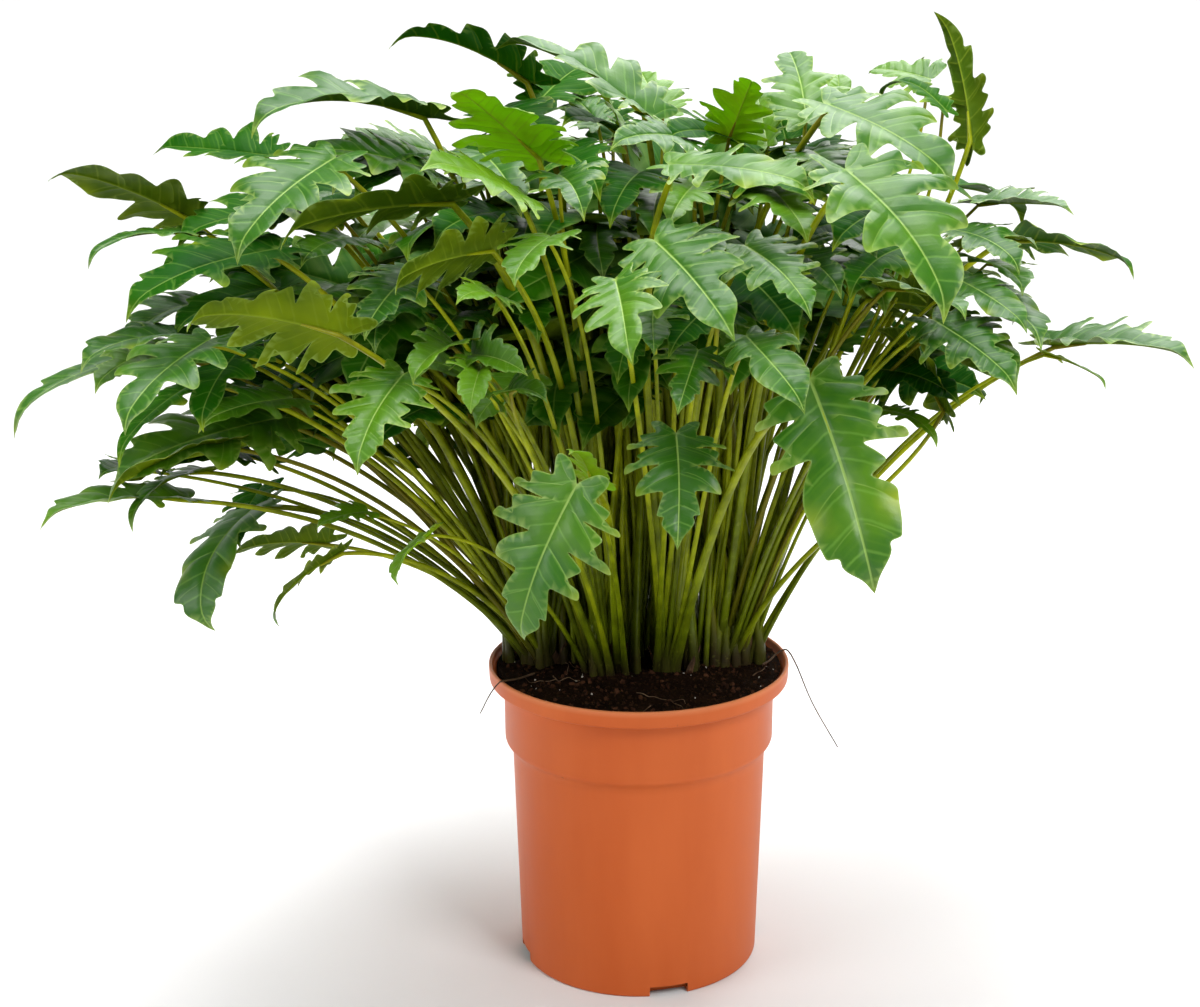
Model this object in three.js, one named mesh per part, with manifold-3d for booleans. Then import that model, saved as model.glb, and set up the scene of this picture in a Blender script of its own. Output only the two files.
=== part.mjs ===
// Philodendron 'Xanadu', a clump of six leafy shoots standing in a plastic nursery pot.
//
// Millimetres, +Z up. The origin is the middle of the pot's underside, -Y is the plant's front.
// Every leaf is one blade on one long petiole. The blade is laid out flat in units of its own
// length, then bent along the midrib and set between its neck, where the petiole joins it, and
// its tip. The leaves of one shoot are fused to its crown, and every crown stands in a hole in
// the soil. A leaf that would run through another slides back or sideways until it is clear.

import * as THREE from 'three';
import { mergeVertices } from 'three/addons/utils/BufferGeometryUtils.js';
import Module from 'manifold-3d';

const wasm = await Module();
wasm.setup();

// ---------------------------------------------------------------- driving dimensions

// Pot: a 24 cm nursery pot, nearly straight, with a wide band stepped out under a heavy rim.
const potHeight = 248;
const potRimRadius = 120;
const potRimHeight = 14;
const potRimTaper = 0.6; // the rim's outside leans in by this much to its lower edge
const potRimWidth = 2.6;
const potRimBevel = { across: 1, down: 1.5 };
const potBandRadius = 108;
const potStepHeight = 185;
const potStepRadius = 101.6;
const potStep = { out: 6, down: 7 };
const potFootRadius = 96.3;
const potFootBevel = 2;
const potWall = 1.9;
const potFloor = 3;
const potSides = 24;
const notchWidth = 31;
const notchHeight = 8.5;
const notchDepth = 11;
const notchTurns = [14.5, 104.5, 194.5, 284.5];
const drainHoles = { count: 5, radius: 5, circle: 55, sides: 6 };

// Soil: fills the pot up to a little under the rim.
const soilTop = 244;
const soilMound = 1.5;
const soilMoundRadius = 60;
const soilInset = 0.4;
const seatGap = 0.3;
const scrapVolume = 20; // a fused shoot may shed crumbs up to this size

// Crowns: the short stems, buried but for their domed tops.
const crownRadius = 23;
const crownBottom = 206;
const crownBottomBevel = { across: 3, up: 5 };
const crownShoulder = { above: 2, inset: 6, drop: 5 };
const crownTop = 265;
const crownSides = 8;
const crownHoleSides = 10;
const petioleSpread = 2; // bearings fan out this much wider round the crown than the leaves do
const petioleStart = { inner: 7, outer: 20, low: 251, high: 260 };
const clumpMiddle = [2, 16]; // the clump stands a little behind the pot's middle

// Leaves.
const bladeThickness = 0.8;
const petioleRadius = 2.5;
const petioleSides = 3;
const petioleSteps = { upright: 2, leaning: 3 };
const leaningReach = 240; // petioles that reach further out than this are bent in more steps
const petioleArch = 0.1; // how much a petiole arches up, for its reach
const petioleLeave = { span: 0.75, up: 0.5, reach: 0.4 }; // the curve's first handle
const petioleArrive = { span: 0.7, along: 0.3, reach: 0.33 }; // and its second
const petioleSink = 0.06; // how far a petiole runs in under its blade, in blade lengths
const leafClearance = 0.5;
const bendPower = 2;
const bendSteps = 24;
const edgeCurl = 0.35;
const edgeWave = { height: 0.012, turns: 15, fullAt: 0.4 };
const wavePhase = [0.37, 0.61, 0.17]; // by the neck's place, so no two blades wave alike
const midribStations = [0.3, 0.65];
const smallMidribStations = [0.45];
const ribBow = 0.03;

// One side of each blade outline, from the basal lobe to the last point before the tip:
// distance along the midrib and out from it, in blade lengths. Lobe tips and the bays
// between them alternate, and the last points round off the long end lobe.
const broad = [
  [-0.10, 0.20], [0.04, 0.20], [0.15, 0.39], [0.20, 0.22], [0.38, 0.42], [0.39, 0.22],
  [0.59, 0.31], [0.63, 0.19],
];
const long = [
  [-0.08, 0.15], [0.05, 0.17], [0.17, 0.31], [0.21, 0.19], [0.39, 0.32], [0.41, 0.19],
  [0.66, 0.19],
];
const narrow = [
  [-0.06, 0.10], [0.06, 0.10], [0.20, 0.22], [0.24, 0.11], [0.45, 0.19], [0.47, 0.11],
  [0.78, 0.08],
];
const young = [
  [-0.07, 0.28], [0.13, 0.46], [0.18, 0.29], [0.41, 0.45], [0.43, 0.29], [0.66, 0.26],
  [0.86, 0.12],
];
const inner = [
  [-0.07, 0.19], [0.19, 0.39], [0.25, 0.21], [0.50, 0.37], [0.53, 0.20], [0.81, 0.14],
];

// Shoots: where each crown stands, and its leaves. A leaf is its outline, the neck, the tip,
// the way its upper face looks, the droop from neck to tip and the fold of each half, in degrees.
const shoots = [
  { name: 'shoot_left', crown: [-70, 12], leaves: [
    [broad, [-150, -20, 675], [-275, -100, 675], [0, -1, 10], 50, 20],
    [broad, [-285, 60, 640], [-385, 85, 645], [0, -1, 10], 10, 22],
    [long, [-325, -30, 600], [-415, -100, 645], [0, 6, 8], 25, 8],
    [narrow, [-315, -60, 595], [-385, -130, 585], [0, -1, 10], 45, 12],
    [broad, [-225, -30, 615], [-290, -110, 600], [0, -2, 10], 35, 12],
    [broad, [-295, -150, 535], [-340, -235, 490], [-2, -4, 8], 35, 10],
    [narrow, [-310, -110, 500], [-355, -200, 460], [0, 2, 10], 35, 10],
    [narrow, [-340, -20, 500], [-450, -130, 465], [0, -1, 10], 50, 14],
    [broad, [-345, -70, 515], [-385, -130, 495], [-1, -4, 8], 30, 10],
    [broad, [-255, -100, 590], [-345, -195, 560], [0, -3, 10], 35, 12],
    [long, [-270, -30, 580], [-360, -90, 570], [0, -3, 10], 30, 12],
    [long, [-320, -80, 525], [-390, -150, 515], [0, -2, 10], 45, 14],
    [young, [-295, 10, 585], [-365, 40, 575], [0, -2, 10], 25, 14],
    [long, [-330, -90, 405], [-420, -170, 410], [0, -1, 10], 30, 16],
    [broad, [-265, -60, 460], [-375, -160, 435], [0, -3, 10], 30, 6],
    [long, [-290, -40, 400], [-320, -130, 320], [-6, -4, 8], 80, 10],
    [broad, [-240, -20, 350], [-310, -70, 355], [0, 4, 8], 30, 12],
    [narrow, [-220, -70, 360], [-265, -145, 325], [-2, 3, 8], 45, 14],
    [young, [-200, -90, 395], [-235, -115, 390], [0, -2, 10], 25, 14],
    [broad, [-280, -90, 520], [-300, -170, 475], [-2, -3, 8], 45, 12],
    [inner, [-285, -20, 540], [-300, -100, 530], [0, -4, 8], 40, 12],
    [long, [-235, 10, 480], [-315, -80, 465], [0, 3, 9], 30, 12],
    [inner, [-250, -110, 485], [-305, -180, 480], [0, -3, 9], 35, 12],
    [inner, [-180, -50, 545], [-185, -135, 525], [-1, -5, 8], 40, 10],
    [inner, [-230, -10, 540], [-245, -95, 520], [-1, -5, 8], 40, 10],
  ] },
  { name: 'shoot_front_left', crown: [-24, -12], leaves: [
    [long, [-210, -110, 655], [-270, -190, 595], [-2, -5, 8], 40, 10],
    [broad, [-65, -130, 655], [-120, -210, 710], [2, 7, 7], 15, 6],
    [long, [-75, -180, 635], [-135, -250, 665], [0, -2, 10], 20, 14],
    [broad, [-115, -110, 680], [-80, -190, 645], [0, -5, 8], 40, 14],
    [long, [-120, -150, 630], [-235, -230, 615], [0, 5, 8], 25, 10],
    [long, [-95, -170, 600], [-160, -245, 585], [0, 5, 8], 25, 10],
    [broad, [-190, -220, 550], [-285, -285, 570], [0, 6, 7], 45, 6],
    [young, [-150, -110, 385], [-175, -145, 355], [-3, 3, 8], 50, 16],
    [broad, [-155, -200, 520], [-180, -270, 470], [-1, -6, 8], 35, 12],
    [young, [-100, -170, 500], [-150, -205, 530], [-2, -4, 8], 40, 8],
    [young, [-80, -140, 520], [-115, -180, 490], [-1, -5, 8], 45, 10],
    [broad, [-40, -260, 460], [-80, -260, 350], [-3, -8, 5], 30, 6],
    [young, [-30, -220, 450], [-45, -250, 480], [-2, -5, 8], 50, 14],
    [young, [-90, -220, 575], [-115, -265, 580], [0, -6, 8], 50, 10],
    [broad, [-155, -180, 590], [-180, -260, 560], [0, -5, 8], 45, 10],
    [broad, [-55, -120, 640], [-35, -190, 620], [0, -6, 8], 45, 20],
    [inner, [-130, -60, 540], [-145, -135, 525], [0, -6, 7], 45, 10],
    [inner, [-145, -40, 595], [-150, -130, 570], [-1, -6, 7], 40, 10],
    [inner, [-85, -100, 560], [-70, -185, 535], [0, -6, 7], 40, 10],
  ] },
  { name: 'shoot_front_right', crown: [28, -10], leaves: [
    [young, [-15, -240, 590], [-5, -310, 550], [-1, -6, 7], 30, 6],
    [broad, [10, -200, 610], [60, -280, 560], [-2, -6, 7], 30, 6],
    [young, [10, -200, 565], [10, -250, 545], [0, -6, 8], 40, 10],
    [broad, [40, -190, 535], [25, -250, 505], [1, -6, 8], 45, 8],
    [broad, [25, -200, 480], [25, -270, 420], [0, -8, 6], 30, 8],
    [long, [115, -190, 515], [155, -265, 385], [-2, -7, 6], 35, 10],
    [long, [70, -220, 550], [105, -290, 515], [0, -6, 8], 45, 12],
    [broad, [70, -190, 605], [110, -260, 570], [0, -6, 8], 30, 10],
    [long, [20, -160, 655], [115, -215, 645], [0, -3, 10], 25, 12],
    [broad, [40, -120, 645], [20, -190, 625], [0, -5, 8], 40, 12],
    [inner, [35, -90, 550], [25, -165, 530], [0, -6, 7], 45, 10],
    [inner, [15, -50, 635], [10, -125, 610], [0, -6, 7], 40, 10],
    [inner, [65, -110, 565], [70, -200, 535], [0, -6, 7], 40, 10],
    [inner, [5, -100, 535], [-15, -185, 505], [0, -6, 7], 40, 10],
  ] },
  { name: 'shoot_right', crown: [78, 14], leaves: [
    [broad, [205, 20, 505], [280, 60, 445], [2, -3, 9], 35, 12],
    [broad, [135, -190, 655], [195, -275, 570], [-3, -7, 7], 35, 6],
    [long, [250, 0, 650], [230, 60, 750], [3, 7, 3], 25, 10],
    [narrow, [225, -30, 680], [180, 25, 685], [0, -2, 10], 100, 12],
    [broad, [245, -40, 615], [305, -105, 620], [0, -2, 10], 10, 22],
    [long, [285, 40, 585], [385, -35, 570], [0, 5, 8], 35, 10],
    [long, [235, -30, 580], [285, -80, 590], [0, 3, 10], 30, 14],
    [broad, [225, -70, 590], [265, -135, 570], [0, -3, 10], 40, 12],
    [long, [225, -110, 570], [265, -170, 545], [0, -5, 8], 30, 10],
    [broad, [305, -40, 510], [395, -120, 515], [0, -1, 10], 25, 24],
    [narrow, [295, -70, 510], [335, -115, 495], [0, 5, 8], 20, 10],
    [broad, [205, -130, 545], [255, -195, 510], [0, -5, 8], 30, 10],
    [broad, [170, -60, 550], [220, -135, 545], [0, 5, 8], 20, 10],
    [long, [225, -120, 485], [180, -50, 540], [3, 6, 6], 20, 10],
    [broad, [105, -120, 600], [140, -185, 575], [0, -6, 8], 40, 12],
    [inner, [130, -40, 600], [170, -115, 585], [0, -5, 8], 40, 12],
    [inner, [100, -60, 555], [115, -130, 525], [0, -6, 7], 45, 10],
    [inner, [155, -50, 590], [175, -140, 565], [1, -5, 8], 40, 10],
  ] },
  { name: 'shoot_back_right', crown: [34, 44], leaves: [
    [broad, [130, -80, 690], [215, -155, 640], [0, -3, 10], 35, 14],
    [broad, [120, -60, 675], [110, 15, 725], [0, -8, 5], 20, 6],
    [young, [225, 40, 705], [180, 80, 710], [0, -6, 8], 20, 12],
    [broad, [65, -40, 660], [80, -95, 710], [2, 6, 6], 20, 10],
    [broad, [35, -80, 670], [-20, -135, 670], [0, -6, 9], 30, 12],
    [long, [95, -20, 655], [90, 30, 690], [-4, -4, 5], 25, 12],
    [young, [150, 0, 680], [150, 35, 705], [0, -6, 7], 30, 12],
    [broad, [125, -60, 655], [145, -135, 625], [0, -6, 8], 45, 12],
    [inner, [50, 0, 625], [85, -75, 620], [0, -4, 9], 40, 12],
    [inner, [185, 30, 600], [220, -50, 575], [0, -4, 9], 40, 12],
    [inner, [-30, -20, 600], [-25, -100, 570], [0, -6, 7], 40, 10],
    [inner, [95, -40, 620], [115, -125, 595], [0, -6, 8], 40, 10],
  ] },
  { name: 'shoot_back_left', crown: [-26, 44], leaves: [
    [broad, [-80, 60, 695], [-190, 25, 730], [0, -1, 10], 45, 20],
    [broad, [10, -50, 680], [-105, -25, 735], [0, -4, 10], 30, 14],
    [broad, [-150, -60, 645], [-240, -120, 665], [0, -2, 10], 20, 12],
    [broad, [-150, 10, 650], [-225, -45, 665], [0, -2, 10], 25, 12],
    [broad, [20, 30, 675], [0, 90, 705], [0, -7, 7], 25, 10],
    [broad, [-30, 40, 665], [-60, 90, 685], [0, -6, 8], 30, 12],
    [young, [-30, -30, 655], [-50, -75, 650], [0, -5, 8], 40, 12],
    [inner, [-20, 60, 655], [-25, 125, 680], [0, -6, 7], 30, 12],
    [inner, [-75, -30, 615], [-85, -110, 580], [0, -6, 7], 45, 10],
    [inner, [-180, 60, 595], [-215, -15, 580], [0, -4, 9], 40, 12],
    [inner, [-125, 50, 625], [-145, -40, 605], [-1, -5, 8], 40, 10],
  ] },
];

// The rest of the back: rows of leaves round the clump, all drooping outward. Each row has a
// neck radius and height, the blade's reach out and down, and the bearings of its two ends.
const backRows = [
  { radius: 150, height: 655, reach: 105, drop: 25, from: 50, to: 130, count: 3 },
  { radius: 240, height: 615, reach: 115, drop: 35, from: 10, to: 170, count: 6 },
  { radius: 265, height: 535, reach: 105, drop: 60, from: 15, to: 165, count: 7 },
  { radius: 235, height: 445, reach: 95, drop: 75, from: 45, to: 140, count: 5 },
];
const backDroop = 45;
const backFold = 12;
const backFacing = { out: 4, up: 8 };
const backScatter = 22;
const backTurnScatter = 5;
const backSeed = 11;

// Aerial roots: they start beside a crown, lie on the soil, cross the rim and hang outside.
const rootRadius = 0.9;
const rootSides = 4;
const rootSteps = 12;
const rootRoutes = [
  { name: 'root_left', route: [
    [-82, -30, 246.2], [-91, -39, 246], [-97, -48, 247.6], [-103, -56, 249.6],
    [-107.5, -60, 249.6], [-114, -67, 243], [-121, -80, 232],
  ] },
  { name: 'root_right', route: [
    [99, -9, 246.2], [105, 0, 246.2], [110, 9, 247.8], [115.5, 14, 249.6], [120.5, 13, 249.6],
    [127, 4, 240], [139, -12, 214], [158, -30, 184],
  ] },
];

// ---------------------------------------------------------------- solids

// A closed three.js geometry as a solid that can be joined and cut.
function toSolid(geometry) {
  const bare = geometry.clone();
  bare.deleteAttribute('normal');
  bare.deleteAttribute('uv');
  const merged = mergeVertices(bare, 1e-4);
  return new wasm.Manifold(new wasm.Mesh({
    numProp: 3,
    vertProperties: new Float32Array(merged.attributes.position.array),
    triVerts: new Uint32Array(merged.index.array),
  }));
}

// A solid as a three.js geometry again.
function toGeometry(solid) {
  const mesh = solid.getMesh();
  const geometry = new THREE.BufferGeometry();
  geometry.setAttribute('position', new THREE.BufferAttribute(mesh.vertProperties, 3));
  geometry.setIndex(new THREE.BufferAttribute(mesh.triVerts, 1));
  return geometry;
}

// The largest body of a fused solid: loose scraps go, and hollows sealed by the fusing fill.
function mainBody(solid) {
  const bodies = solid.decompose();
  bodies.sort((a, b) => b.volume() - a.volume());
  if (bodies.length > 1 && bodies[1].volume() > scrapVolume) throw new Error('a leaf is loose');
  return bodies[0];
}

// A solid of revolution about Z from [radius, height] points.
function turned(points, sides) {
  const profile = points.map(([radius, height]) => new THREE.Vector2(radius, height));
  return new THREE.LatheGeometry(profile, sides).rotateX(Math.PI / 2);
}

// A rod with flat sides along a curve.
function makeRod(curve, radius, sides, steps) {
  const corners = Array.from({ length: sides }, (_, i) => {
    const angle = (i * 2 * Math.PI) / sides;
    return new THREE.Vector2(radius * Math.cos(angle), radius * Math.sin(angle));
  });
  const options = { steps, extrudePath: curve, curveSegments: 1 };
  return toSolid(new THREE.ExtrudeGeometry(new THREE.Shape(corners), options));
}

// ---------------------------------------------------------------- pot and soil

const innerRim = { radius: potRimRadius - potRimWidth, height: potHeight };
const innerNeck = { radius: potBandRadius - potWall, height: potHeight - potRimHeight };
const innerStep = { radius: potStepRadius - potWall, height: potStepHeight - potStep.down };
const innerFoot = { radius: potFootRadius - potWall, height: potFloor };

function makePot() {
  const lipBottom = potHeight - potRimHeight;
  const wall = [
    [0, 0],
    [potFootRadius - potFootBevel, 0],
    [potFootRadius, potFootBevel],
    [potStepRadius, potStepHeight - potStep.down],
    [potStepRadius + potStep.out, potStepHeight],
    [potBandRadius, lipBottom],
    [potRimRadius - potRimTaper, lipBottom],
    [potRimRadius, potHeight - potRimBevel.down],
    [potRimRadius - potRimBevel.across, potHeight],
    [innerRim.radius, innerRim.height],
    [innerNeck.radius, innerNeck.height],
    [innerStep.radius + potStep.out, innerStep.height + potStep.down],
    [innerStep.radius, innerStep.height],
    [innerFoot.radius, innerFoot.height],
    [0, innerFoot.height],
  ];
  let pot = toSolid(turned(wall, potSides));
  for (const turn of notchTurns) {
    const notch = new THREE.BoxGeometry(notchWidth, notchDepth * 2, notchHeight * 2);
    notch.translate(0, -potFootRadius, 0).rotateZ(THREE.MathUtils.degToRad(turn));
    pot = pot.subtract(toSolid(notch));
  }
  for (let i = 0; i < drainHoles.count; i++) {
    const hole = new THREE.CylinderGeometry(
      drainHoles.radius, drainHoles.radius, potFloor * 3, drainHoles.sides,
    );
    hole.rotateX(Math.PI / 2).translate(drainHoles.circle, 0, potFloor / 2);
    hole.rotateZ((i * 2 * Math.PI) / drainHoles.count);
    pot = pot.subtract(toSolid(hole));
  }
  return pot;
}

function makeSoil() {
  const edgeRadius = THREE.MathUtils.mapLinear(
    soilTop, innerNeck.height, innerRim.height, innerNeck.radius, innerRim.radius,
  );
  const body = [
    [0, innerFoot.height + soilInset],
    [innerFoot.radius - soilInset, innerFoot.height + soilInset],
    [innerStep.radius - soilInset, innerStep.height],
    [innerStep.radius + potStep.out - soilInset, innerStep.height + potStep.down + soilInset],
    [innerNeck.radius - soilInset, innerNeck.height],
    [edgeRadius - soilInset * 1.5, soilTop],
    [soilMoundRadius, soilTop + soilMound],
    [0, soilTop + soilMound],
  ];
  let soil = toSolid(turned(body, potSides));
  const holeRadius = (crownRadius + seatGap) / Math.cos(Math.PI / crownHoleSides);
  const holeDepth = soilTop + soilMound - crownBottom + seatGap;
  for (const { crown } of shoots) {
    const hole = new THREE.CylinderGeometry(holeRadius, holeRadius, holeDepth * 2, crownHoleSides);
    hole.rotateX(Math.PI / 2).translate(crown[0], crown[1], crownBottom - seatGap + holeDepth);
    soil = soil.subtract(toSolid(hole));
  }
  return soil;
}

function makeCrown([x, y]) {
  const dome = [
    [0, crownBottom],
    [crownRadius - crownBottomBevel.across, crownBottom],
    [crownRadius, crownBottom + crownBottomBevel.up],
    [crownRadius, soilTop + crownShoulder.above],
    [crownRadius - crownShoulder.inset, crownTop - crownShoulder.drop],
    [0, crownTop],
  ];
  return toSolid(turned(dome, crownSides).translate(x, y, 0));
}

// ---------------------------------------------------------------- leaves

// The midrib as an arc in its own plane: [along, down, angle] at even steps, for a unit length.
function bentMidrib(droop) {
  const stations = [[0, 0, 0]];
  let along = 0;
  let down = 0;
  for (let i = 1; i <= bendSteps; i++) {
    const middle = droop * ((i - 0.5) / bendSteps) ** bendPower;
    along += Math.cos(middle) / bendSteps;
    down += Math.sin(middle) / bendSteps;
    stations.push([along, down, droop * (i / bendSteps) ** bendPower]);
  }
  return stations;
}

function midribAt(stations, s) {
  const position = THREE.MathUtils.clamp(s, 0, 1) * bendSteps;
  const i = Math.min(Math.floor(position), bendSteps - 1);
  const t = position - i;
  return stations[i].map((value, k) => value + (stations[i + 1][k] - value) * t);
}

// Sets a flat blade between its neck and tip. It returns the outline, the neck, the way the
// midrib sets out and a function from flat coordinates to a point, raised off the blade's
// middle by lift.
function setBlade([outline, neckPoint, tipPoint, facing, droopDegrees, foldDegrees], slide) {
  const neck = new THREE.Vector3(...neckPoint).add(slide);
  const tip = new THREE.Vector3(...tipPoint).add(slide);
  const stations = bentMidrib(THREE.MathUtils.degToRad(droopDegrees));
  const [endAlong, endDown] = stations[bendSteps];
  const chord = tip.clone().sub(neck);
  const length = chord.length() / Math.hypot(endAlong, endDown);
  chord.normalize();
  const up = new THREE.Vector3(...facing);
  up.addScaledVector(chord, -up.dot(chord)).normalize();
  const rise = Math.atan2(endDown, endAlong);
  const along = chord.clone().multiplyScalar(Math.cos(rise)).addScaledVector(up, Math.sin(rise));
  const out = up.clone().multiplyScalar(Math.cos(rise)).addScaledVector(chord, -Math.sin(rise));
  const across = new THREE.Vector3().crossVectors(out, along);
  const fold = THREE.MathUtils.degToRad(foldDegrees);
  const phase = neckPoint.reduce((sum, value, k) => sum + value * wavePhase[k], 0);

  function place(a, w, lift) {
    const [x, down, angle] = midribAt(stations, a);
    const forward = a < 0 ? x + a : x;
    const side = Math.abs(w);
    const wave = edgeWave.height * Math.sin(a * edgeWave.turns + phase * Math.sign(w));
    const waved = wave * (side / edgeWave.fullAt) ** 2;
    const raised = side * Math.sin(fold) - edgeCurl * side * side + waved + lift / length;
    const point = neck.clone();
    point.addScaledVector(along, length * (forward + raised * Math.sin(angle)));
    point.addScaledVector(out, length * (raised * Math.cos(angle) - down));
    point.addScaledVector(across, length * w * Math.cos(fold));
    return point;
  }
  return { outline, neck, along, place };
}

// The blade as a closed thin solid, both faces split into the same triangles.
function makeBlade(blade, thickness) {
  const side = blade.outline;
  const rim = [[0, 0], ...side, [1, 0], ...side.map(([a, w]) => [a, -w]).reverse()];
  const small = side === inner || side === young;
  const rib = (small ? smallMidribStations : midribStations).map((a) => [a, 0]);
  const flat = [...rim, ...rib];
  const tipIndex = side.length + 1;
  const ribIndices = rib.map((_, i) => rim.length + i);
  const halves = [
    [...Array(tipIndex + 1).keys(), ...ribIndices.slice().reverse()],
    [0, ...ribIndices, ...Array.from({ length: side.length + 1 }, (_, i) => tipIndex + i)],
  ];
  const face = [];
  for (const [h, half] of halves.entries()) {
    // The rib bows a little into the half here, so that no triangle lies along it.
    const bow = (a) => (h === 0 ? ribBow : -ribBow) * Math.sin(Math.PI * a);
    const contour = half.map((i) => new THREE.Vector2(
      flat[i][0], i >= rim.length ? bow(flat[i][0]) : flat[i][1],
    ));
    for (const triangle of THREE.ShapeUtils.triangulateShape(contour, [])) {
      const [a, b, c] = triangle.map((k) => half[k]);
      const turn = (flat[b][0] - flat[a][0]) * (flat[c][1] - flat[a][1])
        - (flat[b][1] - flat[a][1]) * (flat[c][0] - flat[a][0]);
      face.push(turn > 0 ? [a, b, c] : [a, c, b]);
    }
  }
  const positions = [];
  for (const lift of [thickness / 2, -thickness / 2]) {
    for (const [a, w] of flat) {
      positions.push(...blade.place(a, w, lift).toArray());
    }
  }
  const below = flat.length;
  const index = [];
  for (const [a, b, c] of face) {
    index.push(a, b, c, below + a, below + c, below + b);
  }
  for (let i = 0; i < rim.length; i++) {
    const j = (i + 1) % rim.length;
    index.push(i, j, below + i, j, below + j, below + i);
  }
  return new wasm.Manifold(new wasm.Mesh({
    numProp: 3,
    vertProperties: new Float32Array(positions),
    triVerts: new Uint32Array(index),
  }));
}

// The petiole's centre line: out of the crown, up, and in under the blade's neck.
function petioleCurve(crown, blade, sway) {
  const end = blade.place(petioleSink, 0, -bladeThickness / 2);
  const outward = new THREE.Vector3(blade.neck.x - crown[0], blade.neck.y - crown[1], 0);
  const reach = outward.length();
  outward.normalize();
  const lean = THREE.MathUtils.clamp(reach / (blade.neck.z - soilTop), 0, 1);
  const radius = THREE.MathUtils.lerp(petioleStart.inner, petioleStart.outer, lean);
  const main = Math.atan2(crown[1] - clumpMiddle[1], crown[0] - clumpMiddle[0]);
  const turn = Math.atan2(outward.y, outward.x) - main;
  const fanned = main + petioleSpread * Math.atan2(Math.sin(turn), Math.cos(turn));
  const start = new THREE.Vector3(
    crown[0] + radius * Math.cos(fanned),
    crown[1] + radius * Math.sin(fanned),
    THREE.MathUtils.lerp(petioleStart.high, petioleStart.low, lean),
  );
  const span = end.clone().sub(start);
  const run = span.length();
  span.normalize();
  const sideways = new THREE.Vector3(-outward.y, outward.x, 0).multiplyScalar(sway);
  const leave = span.clone().multiplyScalar(petioleLeave.span);
  leave.z += petioleLeave.up;
  const arrive = span.clone().multiplyScalar(petioleArrive.span);
  arrive.addScaledVector(blade.along, petioleArrive.along);
  const first = start.clone().addScaledVector(leave.normalize(), run * petioleLeave.reach);
  const second = end.clone().addScaledVector(arrive.normalize(), -run * petioleArrive.reach);
  first.add(sideways);
  second.add(sideways);
  second.z += reach * petioleArch;
  return new THREE.CubicBezierCurve3(start, first, second, end);
}


// Back leaves, spread evenly along each row and scattered a little by a seeded draw.
function seededDraw(seed) {
  let state = seed;
  return () => {
    state = (state * 16807) % 2147483647;
    return (state / 2147483647) * 2 - 1;
  };
}

function backLeaves() {
  const leaves = [];
  const draw = seededDraw(backSeed);
  for (const row of backRows) {
    for (let i = 0; i < row.count; i++) {
      const even = row.from + ((i + 0.5) * (row.to - row.from)) / row.count;
      const bearing = THREE.MathUtils.degToRad(even + draw() * backTurnScatter);
      const radius = row.radius + draw() * backScatter;
      const height = row.height + draw() * backScatter;
      const [x, y] = [Math.cos(bearing), Math.sin(bearing)];
      const neck = [x * radius, y * radius, height];
      const out = radius + row.reach;
      const twist = draw() * backScatter;
      const tip = [x * out - y * twist, y * out + x * twist, height - row.drop];
      const facing = [x * backFacing.out, y * backFacing.out, backFacing.up];
      const leaf = [inner, neck, tip, facing, backDroop, backFold];
      leaves.push({ shoot: nearestShoot(neck), leaf });
    }
  }
  return leaves;
}

function nearestShoot([x, y]) {
  const [outX, outY] = [x - clumpMiddle[0], y - clumpMiddle[1]];
  const score = ({ crown }) => (crown[0] - clumpMiddle[0]) * outX + (crown[1] - clumpMiddle[1]) * outY;
  return shoots.reduce((best, shoot) => (score(shoot) > score(best) ? shoot : best));
}

// ---------------------------------------------------------------- bending clear

// A leaf is moved back or forward and a little down or up with it, plainly up or down, and
// its petiole is bowed to either side. Each has a cost for its length.
const slideSteps = {
  back: [0, 12, -12, 24, -24, 36, -36, 48, -48, 60, -60],
  lift: [0, 10, -10],
  sway: [0, 12, -12, 24, -24],
};
const slideCosts = { back: 1, lift: 2, sway: 0.4 };
const slideFall = 0.27;

// Every place to try, the nearest first.
function slidesToTry() {
  const slides = [];
  for (const back of slideSteps.back) {
    for (const lift of slideSteps.lift) {
      for (const sway of slideSteps.sway) {
        const cost = Math.abs(back) * slideCosts.back + Math.abs(lift) * slideCosts.lift
          + Math.abs(sway) * slideCosts.sway;
        slides.push({ back, lift, sway, cost });
      }
    }
  }
  return slides.sort((p, q) => p.cost - q.cost);
}

function touches(a, b) {
  const [p, q] = [a.box, b.box];
  for (let k = 0; k < 3; k++) {
    if (p.min[k] > q.max[k] || q.min[k] > p.max[k]) return false;
  }
  const common = a.solid.intersect(b.solid);
  const touching = !common.isEmpty();
  common.delete();
  return touching;
}

function boxed(solid) {
  return { solid, box: solid.boundingBox() };
}

function makeLeaf(leaf, crown, { back, lift, sway }, swell) {
  const slide = new THREE.Vector3(0, back, lift - slideFall * back);
  const blade = setBlade(leaf, slide);
  const curve = petioleCurve(crown, blade, sway);
  const reach = Math.hypot(blade.neck.x - crown[0], blade.neck.y - crown[1]);
  const steps = reach > leaningReach ? petioleSteps.leaning : petioleSteps.upright;
  return {
    blade: boxed(makeBlade(blade, bladeThickness + 2 * swell)),
    petiole: boxed(makeRod(curve, petioleRadius + swell, petioleSides, steps)),
  };
}

// How badly a leaf sits: another shoot's leaf or the pot rules a place out, and its own
// shoot's leaves are avoided where that is possible.
function faults(leaf, placed, fixed) {
  let own = 0;
  for (const piece of fixed) {
    if (touches(leaf.blade, piece) || touches(leaf.petiole, piece)) return Infinity;
  }
  for (const other of placed) {
    const blades = touches(leaf.blade, other.blade) || touches(leaf.blade, other.petiole)
      || touches(leaf.petiole, other.blade);
    if (other.shoot === leaf.shoot) {
      own += blades ? 1 : 0;
    } else if (blades || touches(leaf.petiole, other.petiole)) {
      return Infinity;
    }
  }
  return own;
}

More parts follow.
